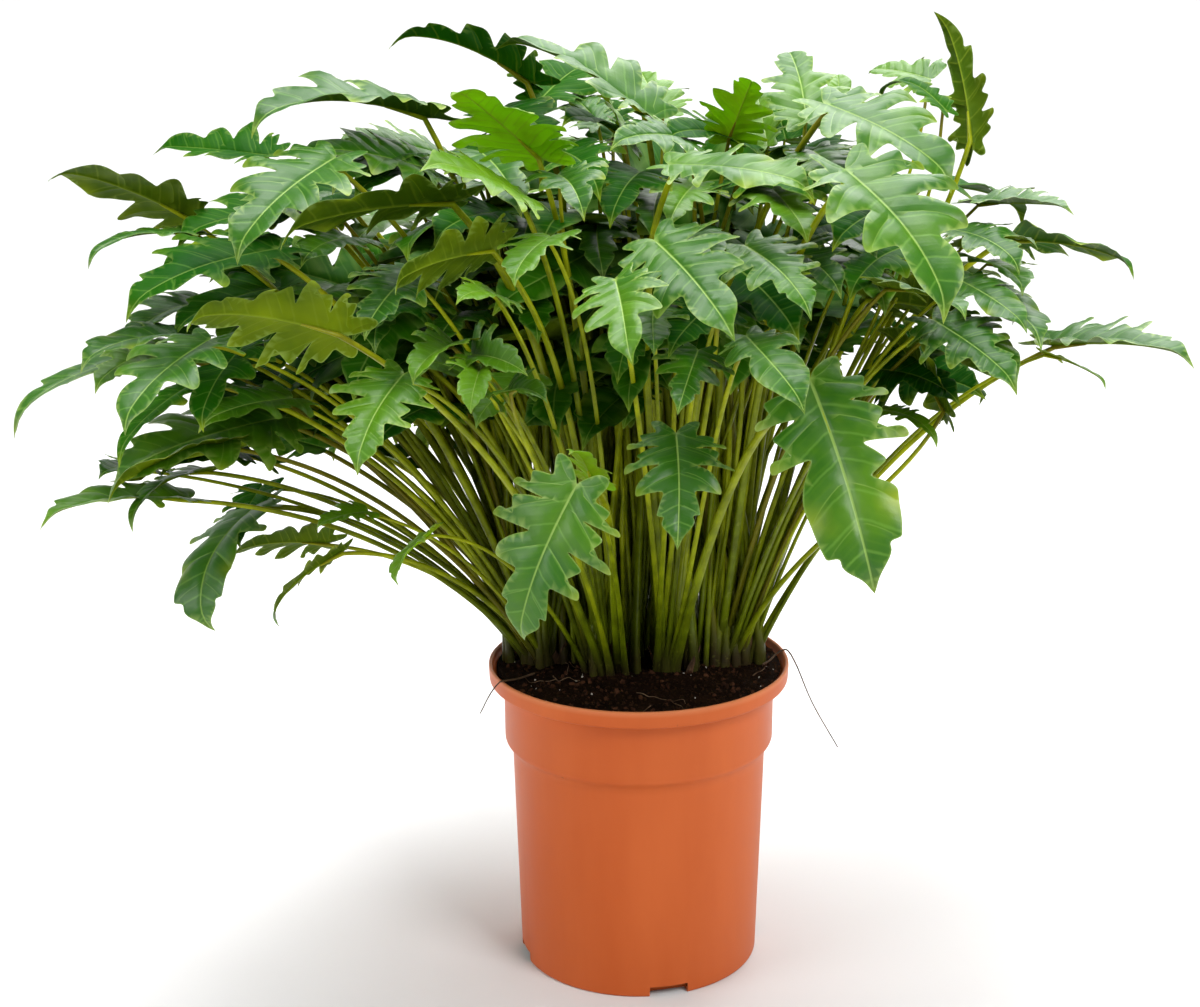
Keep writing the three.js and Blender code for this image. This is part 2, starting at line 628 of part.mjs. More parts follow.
function placeLeaves(fixed) {
  const slides = slidesToTry();
  const placed = [];
  const listed = shoots.flatMap((shoot) => shoot.leaves.map((leaf) => ({ shoot, leaf })));
  for (const { shoot, leaf } of [...listed, ...backLeaves()]) {
    let best = null;
    for (const slide of slides) {
      const probe = { shoot, ...makeLeaf(leaf, shoot.crown, slide, leafClearance) };
      const count = faults(probe, placed, fixed);
      probe.blade.solid.delete();
      probe.petiole.solid.delete();
      if (count < (best ? best.count : Infinity)) best = { count, slide };
      if (count === 0) break;
    }
    if (!best) {
      const others = leaf[1].map((value) => Math.round(value));
      throw new Error(`no clear place for the leaf of ${shoot.name} with its neck at ${others}`);
    }
    placed.push({ shoot, ...makeLeaf(leaf, shoot.crown, best.slide, 0) });
  }
  return placed;
}

// ---------------------------------------------------------------- the plant in its pot

const finishes = {
  pot: { color: 0xc8623a, roughness: 0.5, metalness: 0 },
  soil: { color: 0x2a1a14, roughness: 1, metalness: 0 },
  leaf: { color: 0x3f7a2c, roughness: 0.45, metalness: 0 },
  root: { color: 0x4a3426, roughness: 0.8, metalness: 0 },
};

const group = new THREE.Group();

function addPiece(name, solid, finish) {
  const mesh = new THREE.Mesh(toGeometry(solid), new THREE.MeshStandardMaterial(finish));
  mesh.name = name;
  group.add(mesh);
}

const pot = makePot();
const soil = makeSoil();
addPiece('pot', pot, finishes.pot);
addPiece('soil', soil, finishes.soil);

const roots = rootRoutes.map(({ name, route }) => {
  const curve = new THREE.CatmullRomCurve3(route.map((point) => new THREE.Vector3(...point)));
  const solid = makeRod(curve, rootRadius, rootSides, rootSteps);
  addPiece(name, solid, finishes.root);
  return boxed(solid);
});

const placed = placeLeaves([boxed(pot), boxed(soil), ...roots]);
for (const shoot of shoots) {
  let solid = makeCrown(shoot.crown);
  for (const leaf of placed) {
    if (leaf.shoot !== shoot) continue;
    solid = solid.add(leaf.petiole.solid).add(leaf.blade.solid);
  }
  addPiece(shoot.name, mainBody(solid), finishes.leaf);
}

export default group;
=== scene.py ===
import math

import bpy
import numpy as np
from mathutils import Matrix, Vector
from mathutils.geometry import delaunay_2d_cdt


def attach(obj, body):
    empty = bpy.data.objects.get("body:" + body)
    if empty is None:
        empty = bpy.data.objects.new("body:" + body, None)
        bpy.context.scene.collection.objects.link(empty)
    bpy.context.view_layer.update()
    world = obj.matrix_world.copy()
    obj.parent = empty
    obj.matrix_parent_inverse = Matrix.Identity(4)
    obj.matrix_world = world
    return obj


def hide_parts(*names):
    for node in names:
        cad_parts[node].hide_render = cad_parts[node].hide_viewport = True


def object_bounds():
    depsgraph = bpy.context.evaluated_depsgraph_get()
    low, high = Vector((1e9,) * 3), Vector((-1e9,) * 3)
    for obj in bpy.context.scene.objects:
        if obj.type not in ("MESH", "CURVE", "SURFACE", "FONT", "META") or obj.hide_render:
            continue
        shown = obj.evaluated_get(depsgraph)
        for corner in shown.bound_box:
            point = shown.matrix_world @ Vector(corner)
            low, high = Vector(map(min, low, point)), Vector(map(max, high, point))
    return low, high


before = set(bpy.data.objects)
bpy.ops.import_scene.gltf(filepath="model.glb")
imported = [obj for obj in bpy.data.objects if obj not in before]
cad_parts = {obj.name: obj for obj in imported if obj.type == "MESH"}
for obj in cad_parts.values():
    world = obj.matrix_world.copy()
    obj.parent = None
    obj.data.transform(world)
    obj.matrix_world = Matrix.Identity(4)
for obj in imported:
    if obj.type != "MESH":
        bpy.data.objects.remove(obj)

cad_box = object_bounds()
scene = bpy.context.scene


# ------------------------------------------------------------------ studio
# A pale floor that runs off into a white surround, with broad soft lamps: one above the plant, one
# behind it at the right, one in front at the right, a weak one at the left and one for the wall.

def take(object_data, name):
    made = bpy.data.objects.new(name, object_data)
    scene.collection.objects.link(made)
    return made


def plain_material(name, colour, roughness):
    material = bpy.data.materials.new(name)
    material.use_nodes = True
    shader = material.node_tree.nodes["Principled BSDF"]
    shader.inputs["Base Color"].default_value = (*colour, 1)
    shader.inputs["Roughness"].default_value = roughness
    return material


def circle(radius, turns, shift=0.0):
    """Points around the z axis, the first one turned on by a part of a step."""
    angles = [2 * math.pi * (k + shift) / turns for k in range(turns)]
    return [(radius * math.cos(angle), radius * math.sin(angle)) for angle in angles]


def fan(middle, first, turns):
    """The faces between one point and a ring of points."""
    return [(middle, first + k, first + (k + 1) % turns) for k in range(turns)]


def bands(first, rings, turns):
    """The faces between rings of points that follow one another."""
    return [(low + k, low + turns + k, low + turns + (k + 1) % turns, low + (k + 1) % turns)
            for low in range(first, first + (rings - 1) * turns, turns) for k in range(turns)]


# the floor turns up into a round wall far away, with no corner
floor_radius, cove_radius, wall_top, floor_turns = 2.6, 1.6, 2.4, 96
cove = [(floor_radius, 0.0)]
cove += [(floor_radius + cove_radius * math.sin(t), cove_radius - cove_radius * math.cos(t))
         for t in np.linspace(0.1, math.pi / 2, 14)]
cove.append((floor_radius + cove_radius, wall_top))
floor_points = [(x, y, z) for radius, z in cove for x, y in circle(radius, floor_turns)]
floor_mesh = bpy.data.meshes.new("floor")
floor_mesh.from_pydata([(0, 0, 0)] + floor_points, [],
                       fan(0, 1, floor_turns) + bands(1, len(cove), floor_turns))
floor = take(floor_mesh, "floor")
floor_mesh.materials.append(plain_material("floor_paint", (0.80, 0.80, 0.80), 0.9))
floor_mesh.shade_smooth()

world = bpy.data.worlds.new("white_surround")
world.use_nodes = True
world.node_tree.nodes["Background"].inputs["Color"].default_value = (1, 1, 1, 1)
world.node_tree.nodes["Background"].inputs["Strength"].default_value = 0.12
scene.world = world
scene.view_settings.view_transform = "Standard"

plant_middle = (0, 0, 0.42)
for lamp_name, place, aim, width, watts in (
    ("lamp_front_right", (1.3, -1.5, 2.0), plant_middle, 1.0, 40),
    ("lamp_left", (-2.1, -1.1, 1.3), plant_middle, 1.2, 20),
    ("lamp_above", (-0.35, -0.05, 2.6), plant_middle, 1.3, 46),
    ("lamp_behind", (0.65, 1.5, 2.3), plant_middle, 1.6, 40),
    ("lamp_wall", (0, 1.6, 3.2), (0, 4.4, 0.6), 2.5, 100),
):
    lamp = bpy.data.lights.new(lamp_name, "AREA")
    lamp.size = width
    lamp.energy = watts
    lamp_object = take(lamp, lamp_name)
    lamp_object.location = place
    lamp_object.rotation_euler = (Vector(aim) - Vector(place)).to_track_quat("-Z", "Y").to_euler()

camera = bpy.data.cameras.new("camera")
camera.sensor_width = 36
camera.lens = 59.55
camera.shift_x = -0.03225
camera.clip_start = 0.05
camera_object = take(camera, "camera")
camera_object.location = (0, -1.5, 0.785)
camera_object.rotation_euler = (math.radians(90 - 15.24), 0, 0)
scene.camera = camera_object


# ------------------------------------------------------------------ pot
# A thin-walled nursery pot of coloured polypropylene, moulded in one shot: rolled rim, wide
# stepped band, slightly tapered body, flat floor with drain holes and four notches at the foot.

def feed(socket, value):
    """Sets an input of a node: to another node's output, to a colour or to any other constant."""
    if isinstance(value, bpy.types.NodeSocket):
        socket.id_data.links.new(value, socket)
    else:
        socket.default_value = (*value, 1) if socket.type == "RGBA" else value


def add_node(where, kind, inputs=None, **settings):
    """The outputs of a new node, in the tree that holds the given tree, node or socket."""
    node = where.id_data.nodes.new(kind)
    for key, value in settings.items():
        setattr(node, key, value)
    for key, value in (inputs or {}).items():
        feed(node.inputs[key], value)
    return node.outputs


def shaded(name, roughness, specular):
    """A new material with its one principled shader and its object coordinates."""
    material = plain_material(name, (0.5, 0.5, 0.5), roughness)
    shader = material.node_tree.nodes["Principled BSDF"]
    shader.inputs["Specular IOR Level"].default_value = specular
    return material, shader, add_node(shader, "ShaderNodeTexCoord")["Object"]


def noise(space, scale, detail, roughness=0.55):
    return add_node(space, "ShaderNodeTexNoise", {
        "Vector": space, "Scale": scale, "Detail": detail, "Roughness": roughness})["Fac"]


def remap(value, low, high, to_low=0.0, to_high=1.0):
    return add_node(value, "ShaderNodeMapRange", {
        "Value": value, "From Min": low, "From Max": high,
        "To Min": to_low, "To Max": to_high})["Result"]


def blend(factor, first, second):
    """One colour over another by a factor; a colour is a tuple or another node's output."""
    return add_node(factor, "ShaderNodeMix", {0: factor, 6: first, 7: second}, data_type="RGBA")[2]


def maths(operation, first, second=0.0):
    return add_node(first, "ShaderNodeMath", {0: first, 1: second}, operation=operation)[0]


def times(first, second):
    return maths("MULTIPLY", first, second)


def bump(shader, height, strength, distance):
    feed(shader.inputs["Normal"], add_node(shader, "ShaderNodeBump", {
        "Height": height, "Strength": strength, "Distance": distance})["Normal"])


def drawn_out(space, scale):
    """Coordinates that make a pattern longer along z."""
    return add_node(space, "ShaderNodeMapping", {"Vector": space, "Scale": (1, 1, scale)})["Vector"]


def apart(vector):
    return add_node(vector, "ShaderNodeSeparateXYZ", {0: vector})


def attribute(shader, name, output="Fac"):
    return add_node(shader, "ShaderNodeAttribute", attribute_name=name)[output]


def mesh_object(name, points, faces, materials):
    """A mesh object from points in millimetres."""
    mesh = bpy.data.meshes.new(name)
    mesh.from_pydata((np.asarray(points, float) * 0.001).tolist(), [], faces)
    for material in materials:
        mesh.materials.append(material)
    mesh.update()
    return take(mesh, name)


arc_points = 5


def rounded(profile, rounds):
    """A profile's corners replaced by short arcs: rounds gives the reach of each corner's arc."""
    path = []
    for i, (corner, reach) in enumerate(zip(profile, rounds)):
        corner = np.array(corner, float)
        if reach == 0:
            path.append(corner)
            continue
        ends = []
        for beside in (profile[i - 1], profile[(i + 1) % len(profile)]):
            edge = np.array(beside, float) - corner
            size = np.linalg.norm(edge)
            ends.append(corner + edge / size * min(reach, size * 0.48))
        for t in np.linspace(0, 1, arc_points):
            path.append((1 - t) ** 2 * ends[0] + 2 * t * (1 - t) * corner + t * t * ends[1])
    return path


def lathe(name, path, turns, materials):
    """A closed turned body; the path starts and ends on the axis."""
    points = [(0, 0, path[0][1])]
    rings = []
    for radius, height in path[1:-1]:
        rings.append(len(points))
        points += [(x, y, height) for x, y in circle(radius, turns)]
    points.append((0, 0, path[-1][1]))
    faces = []
    for k in range(turns):
        following = (k + 1) % turns
        faces.append((0, rings[0] + following, rings[0] + k))
        faces.append((len(points) - 1, rings[-1] + k, rings[-1] + following))
        for low, high in zip(rings, rings[1:]):
            faces.append((low + k, low + following, high + following, high + k))
    return mesh_object(name, points, faces, materials)


def evaluated_mesh(piece):
    """A plain mesh of a piece as its modifiers leave it."""
    return bpy.data.meshes.new_from_object(
        piece.evaluated_get(bpy.context.evaluated_depsgraph_get()))


def cut_away(piece, cutter):
    """Takes the cutter out of the piece and removes the cutter."""
    boolean = piece.modifiers.new("cut", "BOOLEAN")
    boolean.operation = "DIFFERENCE"
    boolean.solver = "EXACT"
    boolean.object = cutter
    cut_mesh = evaluated_mesh(piece)
    piece.modifiers.remove(boolean)
    piece.data = cut_mesh
    bpy.data.objects.remove(cutter)


def block(name, low, high, turn):
    """A box between two corners, turned about the z axis."""
    (x0, y0, z0), (x1, y1, z1) = low, high
    c, s = math.cos(turn), math.sin(turn)
    points = [(x * c - y * s, x * s + y * c, z)
              for z in (z0, z1) for x, y in ((x0, y0), (x1, y0), (x1, y1), (x0, y1))]
    faces = [(0, 3, 2, 1), (4, 5, 6, 7), (0, 1, 5, 4), (1, 2, 6, 5), (2, 3, 7, 6), (3, 0, 4, 7)]
    return mesh_object(name, points, faces, [])


pot_height, pot_wall, pot_floor, pot_foot, rim_bottom = 248, 1.9, 3, 96.3, 234
# from the middle of the underside, up the outside, over the rim and down the inside
pot_profile = [
    (0, 0), (92.5, 0), (pot_foot, 0.2), (101.55, 178), (107.55, 185), (107.9, rim_bottom),
    (119.2, rim_bottom), (119.9, pot_height), (117.2, pot_height), (116.2, 243.5), (106.3, 233),
    (105.9, 185), (99.8, 177.6), (pot_foot - pot_wall, pot_floor), (0, pot_floor),
]
pot_rounds = [0, 1.2, 2.4, 6, 2.2, 1.6, 2.6, 2.2, 1.2, 1.5, 4, 2, 3, 2, 0]
notch_half_width, notch_half_depth, notch_height, first_notch = 15.5, 11, 8.5, 14.5
hole_radius, hole_distance = 4.9, 0.055

pot_plastic, shader, space = shaded("pot_plastic", 0.42, 0.2)
cloud = noise(drawn_out(space, 0.18), 16, 4)
level = apart(space)["Z"]
body_colour = blend(remap(cloud, 0.35, 0.7), (0.53, 0.100, 0.018), (0.60, 0.128, 0.028))
# a paler upper edge, partly dust and partly a painted highlight along the lip, a few soil smears
# near the rim and dark flecks all over
body_colour = blend(times(remap(level, 0.243, 0.248), 0.45), body_colour, (0.70, 0.30, 0.14))
smear = remap(noise(space, 34, 5, 0.7), 0.66, 0.74)
near_rim = remap(level, 0.20, 0.246)
body_colour = blend(times(times(smear, near_rim), 0.4), body_colour, (0.16, 0.07, 0.035))
fleck = remap(noise(space, 95, 1, 0.4), 0.80, 0.83)
body_colour = blend(times(fleck, 0.6), body_colour, (0.18, 0.05, 0.02))
feed(shader.inputs["Base Color"], body_colour)
feed(shader.inputs["Roughness"], remap(cloud, 0.3, 0.7, 0.36, 0.5))
bump(shader, noise(space, 420, 2), 0.08, 0.0004)

pot = lathe("pot_shell", rounded(pot_profile, pot_rounds), 144, [pot_plastic])
for quarter in range(4):
    cut_away(pot, block("notch", (-notch_half_width, -pot_foot - notch_half_depth, -notch_height),
                        (notch_half_width, -pot_foot + notch_half_depth, notch_height),
                        math.radians(first_notch + 90 * quarter)))
for x, y in circle(hole_distance, 5):
    hole = lathe("hole", [(0, -5), (hole_radius, -5), (hole_radius, 8), (0, 8)], 24, [])
    hole.data.transform(Matrix.Translation((x, y, 0)))
    cut_away(pot, hole)
pot.data.shade_smooth()
pot.data.set_sharp_from_angle(angle=math.radians(35))
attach(pot, "root")
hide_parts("pot")


# ------------------------------------------------------------------ soil
# Dark peat potting soil, a little mounded and damp, with bark crumbs, a few pale grains of
# perlite and fine dead roots on its surface. It fills the pot to just under the rim.

soil_top, soil_mound, soil_radius = 244, 2.5, 113.4


def value_noise(x, y, cell, seed):
    """Smooth noise between 0 and 1 on a grid of the given cell."""
    gx, gy = np.asarray(x) / cell, np.asarray(y) / cell
    ix, iy = np.floor(gx).astype(int), np.floor(gy).astype(int)
    fx, fy = gx - ix, gy - iy
    fx, fy = fx * fx * (3 - 2 * fx), fy * fy * (3 - 2 * fy)

    def corner(i, j):
        mixed = np.sin(i * 127.1 + j * 311.7 + seed * 74.7) * 43758.5453
        return mixed - np.floor(mixed)
    low = corner(ix, iy) * (1 - fx) + corner(ix + 1, iy) * fx
    high = corner(ix, iy + 1) * (1 - fx) + corner(ix + 1, iy + 1) * fx
    return low * (1 - fy) + high * fy


def soil_height(x, y):
    """The soil's surface, in millimetres, over a point of the pot's plan."""
    radius = np.hypot(x, y)
    lumps = (value_noise(x, y, 17, 1) - 0.5) * 2.6 + (value_noise(x, y, 7, 2) - 0.5) * 2.2
    crumb = (value_noise(x, y, 2.6, 3) - 0.5) * 1.6
    edge = np.clip((soil_radius - radius) / 12, 0, 1)
    return soil_top - 0.6 + soil_mound * np.clip(1 - radius / 90, 0, 1) + (lumps + crumb) * edge


def on_soil(radius, turns, shift=0.0):
    """A ring of points on the soil's surface."""
    return [(x, y, float(soil_height(x, y))) for x, y in circle(radius, turns, shift)]


soil_material, shader, space = shaded("damp_peat", 0.85, 0.04)
grain = noise(space, 260, 4, 0.7)
peat = blend(remap(noise(space, 38, 3), 0.35, 0.7),
             (0.005, 0.0022, 0.0010), (0.013, 0.0055, 0.0026))
peat = blend(remap(grain, 0.58, 0.75), peat, (0.050, 0.022, 0.011))
feed(shader.inputs["Base Color"], peat)
bump(shader, grain, 0.7, 0.0015)

soil_rings, soil_turns, soil_bottom = 62, 176, 178
# under its surface the body narrows with the inside of the pot's band, and ends at the step
soil_sides = [(105.6, 233.6), (105.5, 186), (99.2, soil_bottom)]
soil_points = [(0, 0, float(soil_height(0, 0)))]
for ring in range(1, soil_rings + 1):
    soil_points += on_soil(soil_radius * ring / soil_rings, soil_turns, 0.5 * (ring % 2))
for radius, height in soil_sides:
    soil_points += [(x, y, height) for x, y in circle(radius, soil_turns, 0.5 * (soil_rings % 2))]
soil_points.append((0, 0, soil_bottom))
last_ring = 1 + (soil_rings + len(soil_sides) - 1) * soil_turns
soil_faces = fan(0, 1, soil_turns) + bands(1, soil_rings + len(soil_sides), soil_turns)
soil_faces += [(after, this, middle)
               for middle, this, after in fan(len(soil_points) - 1, last_ring, soil_turns)]
soil = mesh_object("soil_body", soil_points, soil_faces, [soil_material])
soil.data.shade_smooth()
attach(soil, "root")
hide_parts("soil")


def new_tree(name, inputs):
    """A geometry tree with named inputs and the outputs of its input node."""
    tree = bpy.data.node_groups.new(name, "GeometryNodeTree")
    tree.interface.new_socket("Geometry", in_out="INPUT", socket_type="NodeSocketGeometry")
    for title, kind, value in inputs:
        socket = tree.interface.new_socket(title, in_out="INPUT", socket_type="NodeSocket" + kind)
        if value is not None:
            socket.default_value = value
    tree.interface.new_socket("Geometry", in_out="OUTPUT", socket_type="NodeSocketGeometry")
    return tree, add_node(tree, "NodeGroupInput")


def finish_tree(tree, geometry, material):
    """The end of a geometry tree: its instances made real and given their material."""
    whole = add_node(tree, "GeometryNodeRealizeInstances", {"Geometry": geometry})
    coated = add_node(tree, "GeometryNodeSetMaterial", {
        "Geometry": whole["Geometry"], "Material": material})
    add_node(tree, "NodeGroupOutput", {"Geometry": coated["Geometry"]})


def grow(piece, tree, values):
    """Runs a geometry tree on a piece with the given inputs and keeps the result as its mesh."""
    modifier = piece.modifiers.new(tree.name, "NODES")
    modifier.node_group = tree
    for item in tree.interface.items_tree:
        if item.item_type == "SOCKET" and item.in_out == "INPUT" and item.name in values:
            modifier[item.identifier] = values[item.name]
    piece.update_tag()
    grown = evaluated_mesh(piece)
    piece.modifiers.remove(modifier)
    old = piece.data
    piece.data = grown
    bpy.data.meshes.remove(old)


# crumbs of a given size strewn over a surface, each turned and stretched its own way
crumbs_tree, given = new_tree("strewn_crumbs", [
    ("Density", "Float", 20000.0), ("Smallest", "Float", 0.4), ("Largest", "Float", 1.0),
    ("Crumb Radius", "Float", 0.0012), ("Sink", "Float", 0.0002), ("Seed", "Int", 1),
    ("Material", "Material", None)])
strewn = add_node(crumbs_tree, "GeometryNodeDistributePointsOnFaces", {
    "Mesh": given["Geometry"], "Density": given["Density"], "Seed": given["Seed"]},
    distribute_method="RANDOM")
ball = add_node(crumbs_tree, "GeometryNodeMeshIcoSphere", {
    "Radius": given["Crumb Radius"], "Subdivisions": 1})
turn = add_node(crumbs_tree, "FunctionNodeRandomValue", {
    1: (6.28, 6.28, 6.28), "Seed": given["Seed"]}, data_type="FLOAT_VECTOR")
stretch = add_node(crumbs_tree, "FunctionNodeRandomValue", {
    0: (0.55, 0.55, 0.35), 1: (1.5, 1.0, 0.8), "Seed": given["Seed"]}, data_type="FLOAT_VECTOR")
size = add_node(crumbs_tree, "FunctionNodeRandomValue", {
    2: given["Smallest"], 3: given["Largest"], "Seed": given["Seed"]}, data_type="FLOAT")
sized = add_node(crumbs_tree, "ShaderNodeVectorMath", {
    0: stretch[0], "Scale": size[1]}, operation="SCALE")
sunk = add_node(crumbs_tree, "GeometryNodeSetPosition", {
    "Geometry": strewn["Points"],
    "Offset": add_node(crumbs_tree, "ShaderNodeCombineXYZ", {"Z": times(given["Sink"], -1)})[0]})
laid = add_node(crumbs_tree, "GeometryNodeInstanceOnPoints", {
    "Points": sunk["Geometry"], "Instance": ball["Mesh"], "Rotation": turn[0], "Scale": sized[0]})
finish_tree(crumbs_tree, laid["Instances"], given["Material"])


def soil_patch(name, inner_radius, outer_radius):
    """A throwaway ring of the soil's surface, to strew crumbs over."""
    rings, turns = 20, 72
    points = []
    for ring in range(rings + 1):
        points += on_soil(inner_radius + (outer_radius - inner_radius) * ring / rings, turns)
    return mesh_object(name, points, bands(0, rings + 1, turns), [])


def crumb_material(name, dark, light, roughness):
    material, shader, space = shaded(name, roughness, 0.06)
    feed(shader.inputs["Base Color"], blend(remap(noise(space, 120, 2), 0.35, 0.65), dark, light))
    bump(shader, noise(space, 900, 2), 0.4, 0.0004)
    return material


for crumb_name, density, crumb_radius, smallest, largest, seed, dark, light, roughness in (
    ("peat_crumbs", 62000.0, 0.0016, 0.35, 1.25, 11,
     (0.007, 0.003, 0.0015), (0.032, 0.014, 0.006), 0.9),
    ("bark_crumbs", 8000.0, 0.0024, 0.4, 1.5, 12,
     (0.020, 0.008, 0.004), (0.070, 0.028, 0.014), 0.85),
    ("perlite", 1500.0, 0.0013, 0.4, 1.0, 13,
     (0.42, 0.38, 0.33), (0.62, 0.58, 0.52), 0.9),
):
    crumbs = soil_patch(crumb_name, 3, 112.6)
    grow(crumbs, crumbs_tree, {
        "Density": density, "Crumb Radius": crumb_radius, "Smallest": smallest, "Largest": largest,
        "Sink": crumb_radius * 0.15, "Seed": seed,
        "Material": crumb_material(crumb_name + "_surface", dark, light, roughness)})
    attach(crumbs, "root")


# ------------------------------------------------------------------ roots
# Aerial and surface roots, leathery and brown: two hang over the pot's rim, and thin dead ones
# lie in loops on the soil between the crowns. Each is round and tapers to its end.

# strings of points made round: the thickness comes from each point's own girth
strings_tree, given = new_tree("round_strings", [
    ("Girth Scale", "Float", 1.0), ("Sides", "Int", 8), ("Groove", "Float", 0.0),
    ("Material", "Material", None)])
strings = add_node(strings_tree, "GeometryNodeMeshToCurve", {"Mesh": given["Geometry"]})
girth = add_node(strings_tree, "GeometryNodeInputNamedAttribute", {"Name": "girth"},
                 data_type="FLOAT")
ring = add_node(strings_tree, "GeometryNodeCurvePrimitiveCircle", {
    "Resolution": given["Sides"], "Radius": 1.0})
# a shallow channel along the upper side: the ring is drawn in where its own y is largest
ring_y = apart(add_node(strings_tree, "GeometryNodeInputPosition")[0])["Y"]
depth = times(maths("POWER", maths("MAXIMUM", ring_y, 0), 6), given["Groove"])
grooved = add_node(strings_tree, "GeometryNodeSetPosition", {
    "Geometry": ring["Curve"],
    "Offset": add_node(strings_tree, "ShaderNodeCombineXYZ", {"Y": times(depth, -1)})[0]})
sweep = add_node(strings_tree, "GeometryNodeCurveToMesh", {
    "Curve": strings["Curve"], "Profile Curve": grooved["Geometry"],
    "Scale": times(girth["Attribute"], given["Girth Scale"]), "Fill Caps": True})
smooth = add_node(strings_tree, "GeometryNodeSetShadeSmooth", {"Geometry": sweep["Mesh"]})
finish_tree(strings_tree, smooth["Geometry"], given["Material"])


def set_values(mesh, key, values):
    """A number or a vector for each point of a mesh."""
    values = np.asarray(values, np.float32)
    kind, field = ("FLOAT_VECTOR", "vector") if values.ndim == 2 else ("FLOAT", "value")
    mesh.attributes.new(key, kind, "POINT").data.foreach_set(field, values.ravel())


def strings_object(name, paths, girths, extras, material, sides, groove=0.0):
    """Round strings along paths, in millimetres; girths and extras hold a value for each point."""
    points, edges = [], []
    for path in paths:
        edges += [(len(points) + k, len(points) + k + 1) for k in range(len(path) - 1)]
        points += [tuple(float(v) for v in point) for point in path]
    mesh = bpy.data.meshes.new(name)
    mesh.from_pydata((np.array(points) * 0.001).tolist(), edges, [])
    for key, values in {"girth": np.concatenate(girths) * 0.001, **extras}.items():
        set_values(mesh, key, values)
    piece = take(mesh, name)
    grow(piece, strings_tree, {"Sides": sides, "Groove": groove, "Material": material})
    return piece


def spline(points, steps):
    """A smooth path through the given points."""
    points = [np.array(p, float) for p in points]
    points = [2 * points[0] - points[1], *points, 2 * points[-1] - points[-2]]
    path = []
    for a, b, c, d in zip(points, points[1:], points[2:], points[3:]):
        for t in np.arange(steps) / steps:
            path.append(0.5 * (2 * b + (c - a) * t + (2 * a - 5 * b + 4 * c - d) * t * t
                               + (3 * b - a - 3 * c + d) * t ** 3))
    return np.array([*path, points[-2]])


root_skin, shader, space = shaded("root_skin", 0.7, 0.3)
bark = blend(remap(noise(space, 90, 3), 0.35, 0.65), (0.045, 0.022, 0.010), (0.12, 0.065, 0.032))
feed(shader.inputs["Base Color"], bark)
bump(shader, noise(space, 700, 2), 0.5, 0.0003)

for root_name, root_points in (
    ("root_left", [(-82, -30, 246.2), (-91, -39, 246), (-97, -48, 247.6), (-103, -56, 249.6),
                   (-107.5, -60, 249.6), (-114, -67, 243), (-121, -80, 232)]),
    ("root_right", [(99, -9, 246.2), (105, 0, 246.2), (110, 9, 247.8), (115.5, 14, 249.6),
                    (120.5, 13, 249.6), (127, 4, 240), (139, -12, 214), (158, -30, 184)]),
):
    path = spline(root_points, 10)
    root = strings_object(root_name + "_skin", [path], [np.linspace(0.9, 0.42, len(path))], {},
                          root_skin, 10)
    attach(root, "root")
    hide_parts(root_name)

draw = np.random.default_rng(41)
rootlet_paths, rootlet_girths = [], []
rootlet_step, rootlet_limit = 4.2, 110
for _ in range(16):
    turn, radius = draw.uniform(0, 2 * math.pi), draw.uniform(60, 104)
    heading = draw.uniform(0, 2 * math.pi)
    x, y = radius * math.cos(turn), radius * math.sin(turn)
    path = []
    for step in range(draw.integers(7, 16)):
        loop = 2.2 * max(0, math.sin(step * 0.9 + radius)) * draw.uniform(0.3, 1)
        path.append((x, y, float(soil_height(x, y)) + 0.5 + loop))
        heading += draw.uniform(-0.75, 0.75)
        x, y = x + rootlet_step * math.cos(heading), y + rootlet_step * math.sin(heading)
        if math.hypot(x, y) > rootlet_limit:
            break
    if len(path) > 3:
        rootlet_paths.append(spline(path, 4))
        rootlet_girths.append(np.linspace(draw.uniform(0.3, 0.55), 0.18, len(rootlet_paths[-1])))
dead_root = crumb_material("dead_root", (0.06, 0.032, 0.018), (0.20, 0.13, 0.08), 0.8)
rootlets = strings_object("rootlets", rootlet_paths, rootlet_girths, {}, dead_root, 6)
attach(rootlets, "root")


# ------------------------------------------------------------------ leaf blades
# Soft leathery leaves, each one deeply lobed blade grown on its own stalk. A pale midrib and side
# veins run to the lobe tips, the edge has a thin pale line, and the underside is duller and ribbed.

# Each form lists one side of the flat blade from its base: kind, distance along the midrib and
# distance from it, for a blade one unit long. Kinds: ear, bay, lobe and shoulder.
broad = [("ear", -0.10, 0.20), ("bay", 0.04, 0.20), ("lobe", 0.15, 0.39), ("bay", 0.20, 0.22),
         ("lobe", 0.38, 0.42), ("bay", 0.39, 0.22), ("lobe", 0.59, 0.31), ("bay", 0.62, 0.19),
         ("shoulder", 0.83, 0.13)]
long = [("ear", -0.08, 0.15), ("bay", 0.05, 0.17), ("lobe", 0.17, 0.31), ("bay", 0.21, 0.19),
        ("lobe", 0.39, 0.32), ("bay", 0.41, 0.19), ("lobe", 0.64, 0.20), ("shoulder", 0.85, 0.11)]
narrow = [("ear", -0.06, 0.10), ("bay", 0.06, 0.10), ("lobe", 0.20, 0.22), ("bay", 0.24, 0.11),
          ("lobe", 0.45, 0.19), ("bay", 0.47, 0.11), ("shoulder", 0.78, 0.08)]
young = [("ear", -0.07, 0.28), ("lobe", 0.13, 0.46), ("bay", 0.18, 0.29), ("lobe", 0.41, 0.45),
         ("bay", 0.43, 0.29), ("shoulder", 0.66, 0.22), ("shoulder", 0.86, 0.12)]
inner = [("ear", -0.07, 0.19), ("lobe", 0.19, 0.39), ("bay", 0.25, 0.21), ("lobe", 0.50, 0.37),
         ("bay", 0.53, 0.20), ("shoulder", 0.81, 0.14)]
forms = [broad, long, narrow, young, inner]
variants = 3
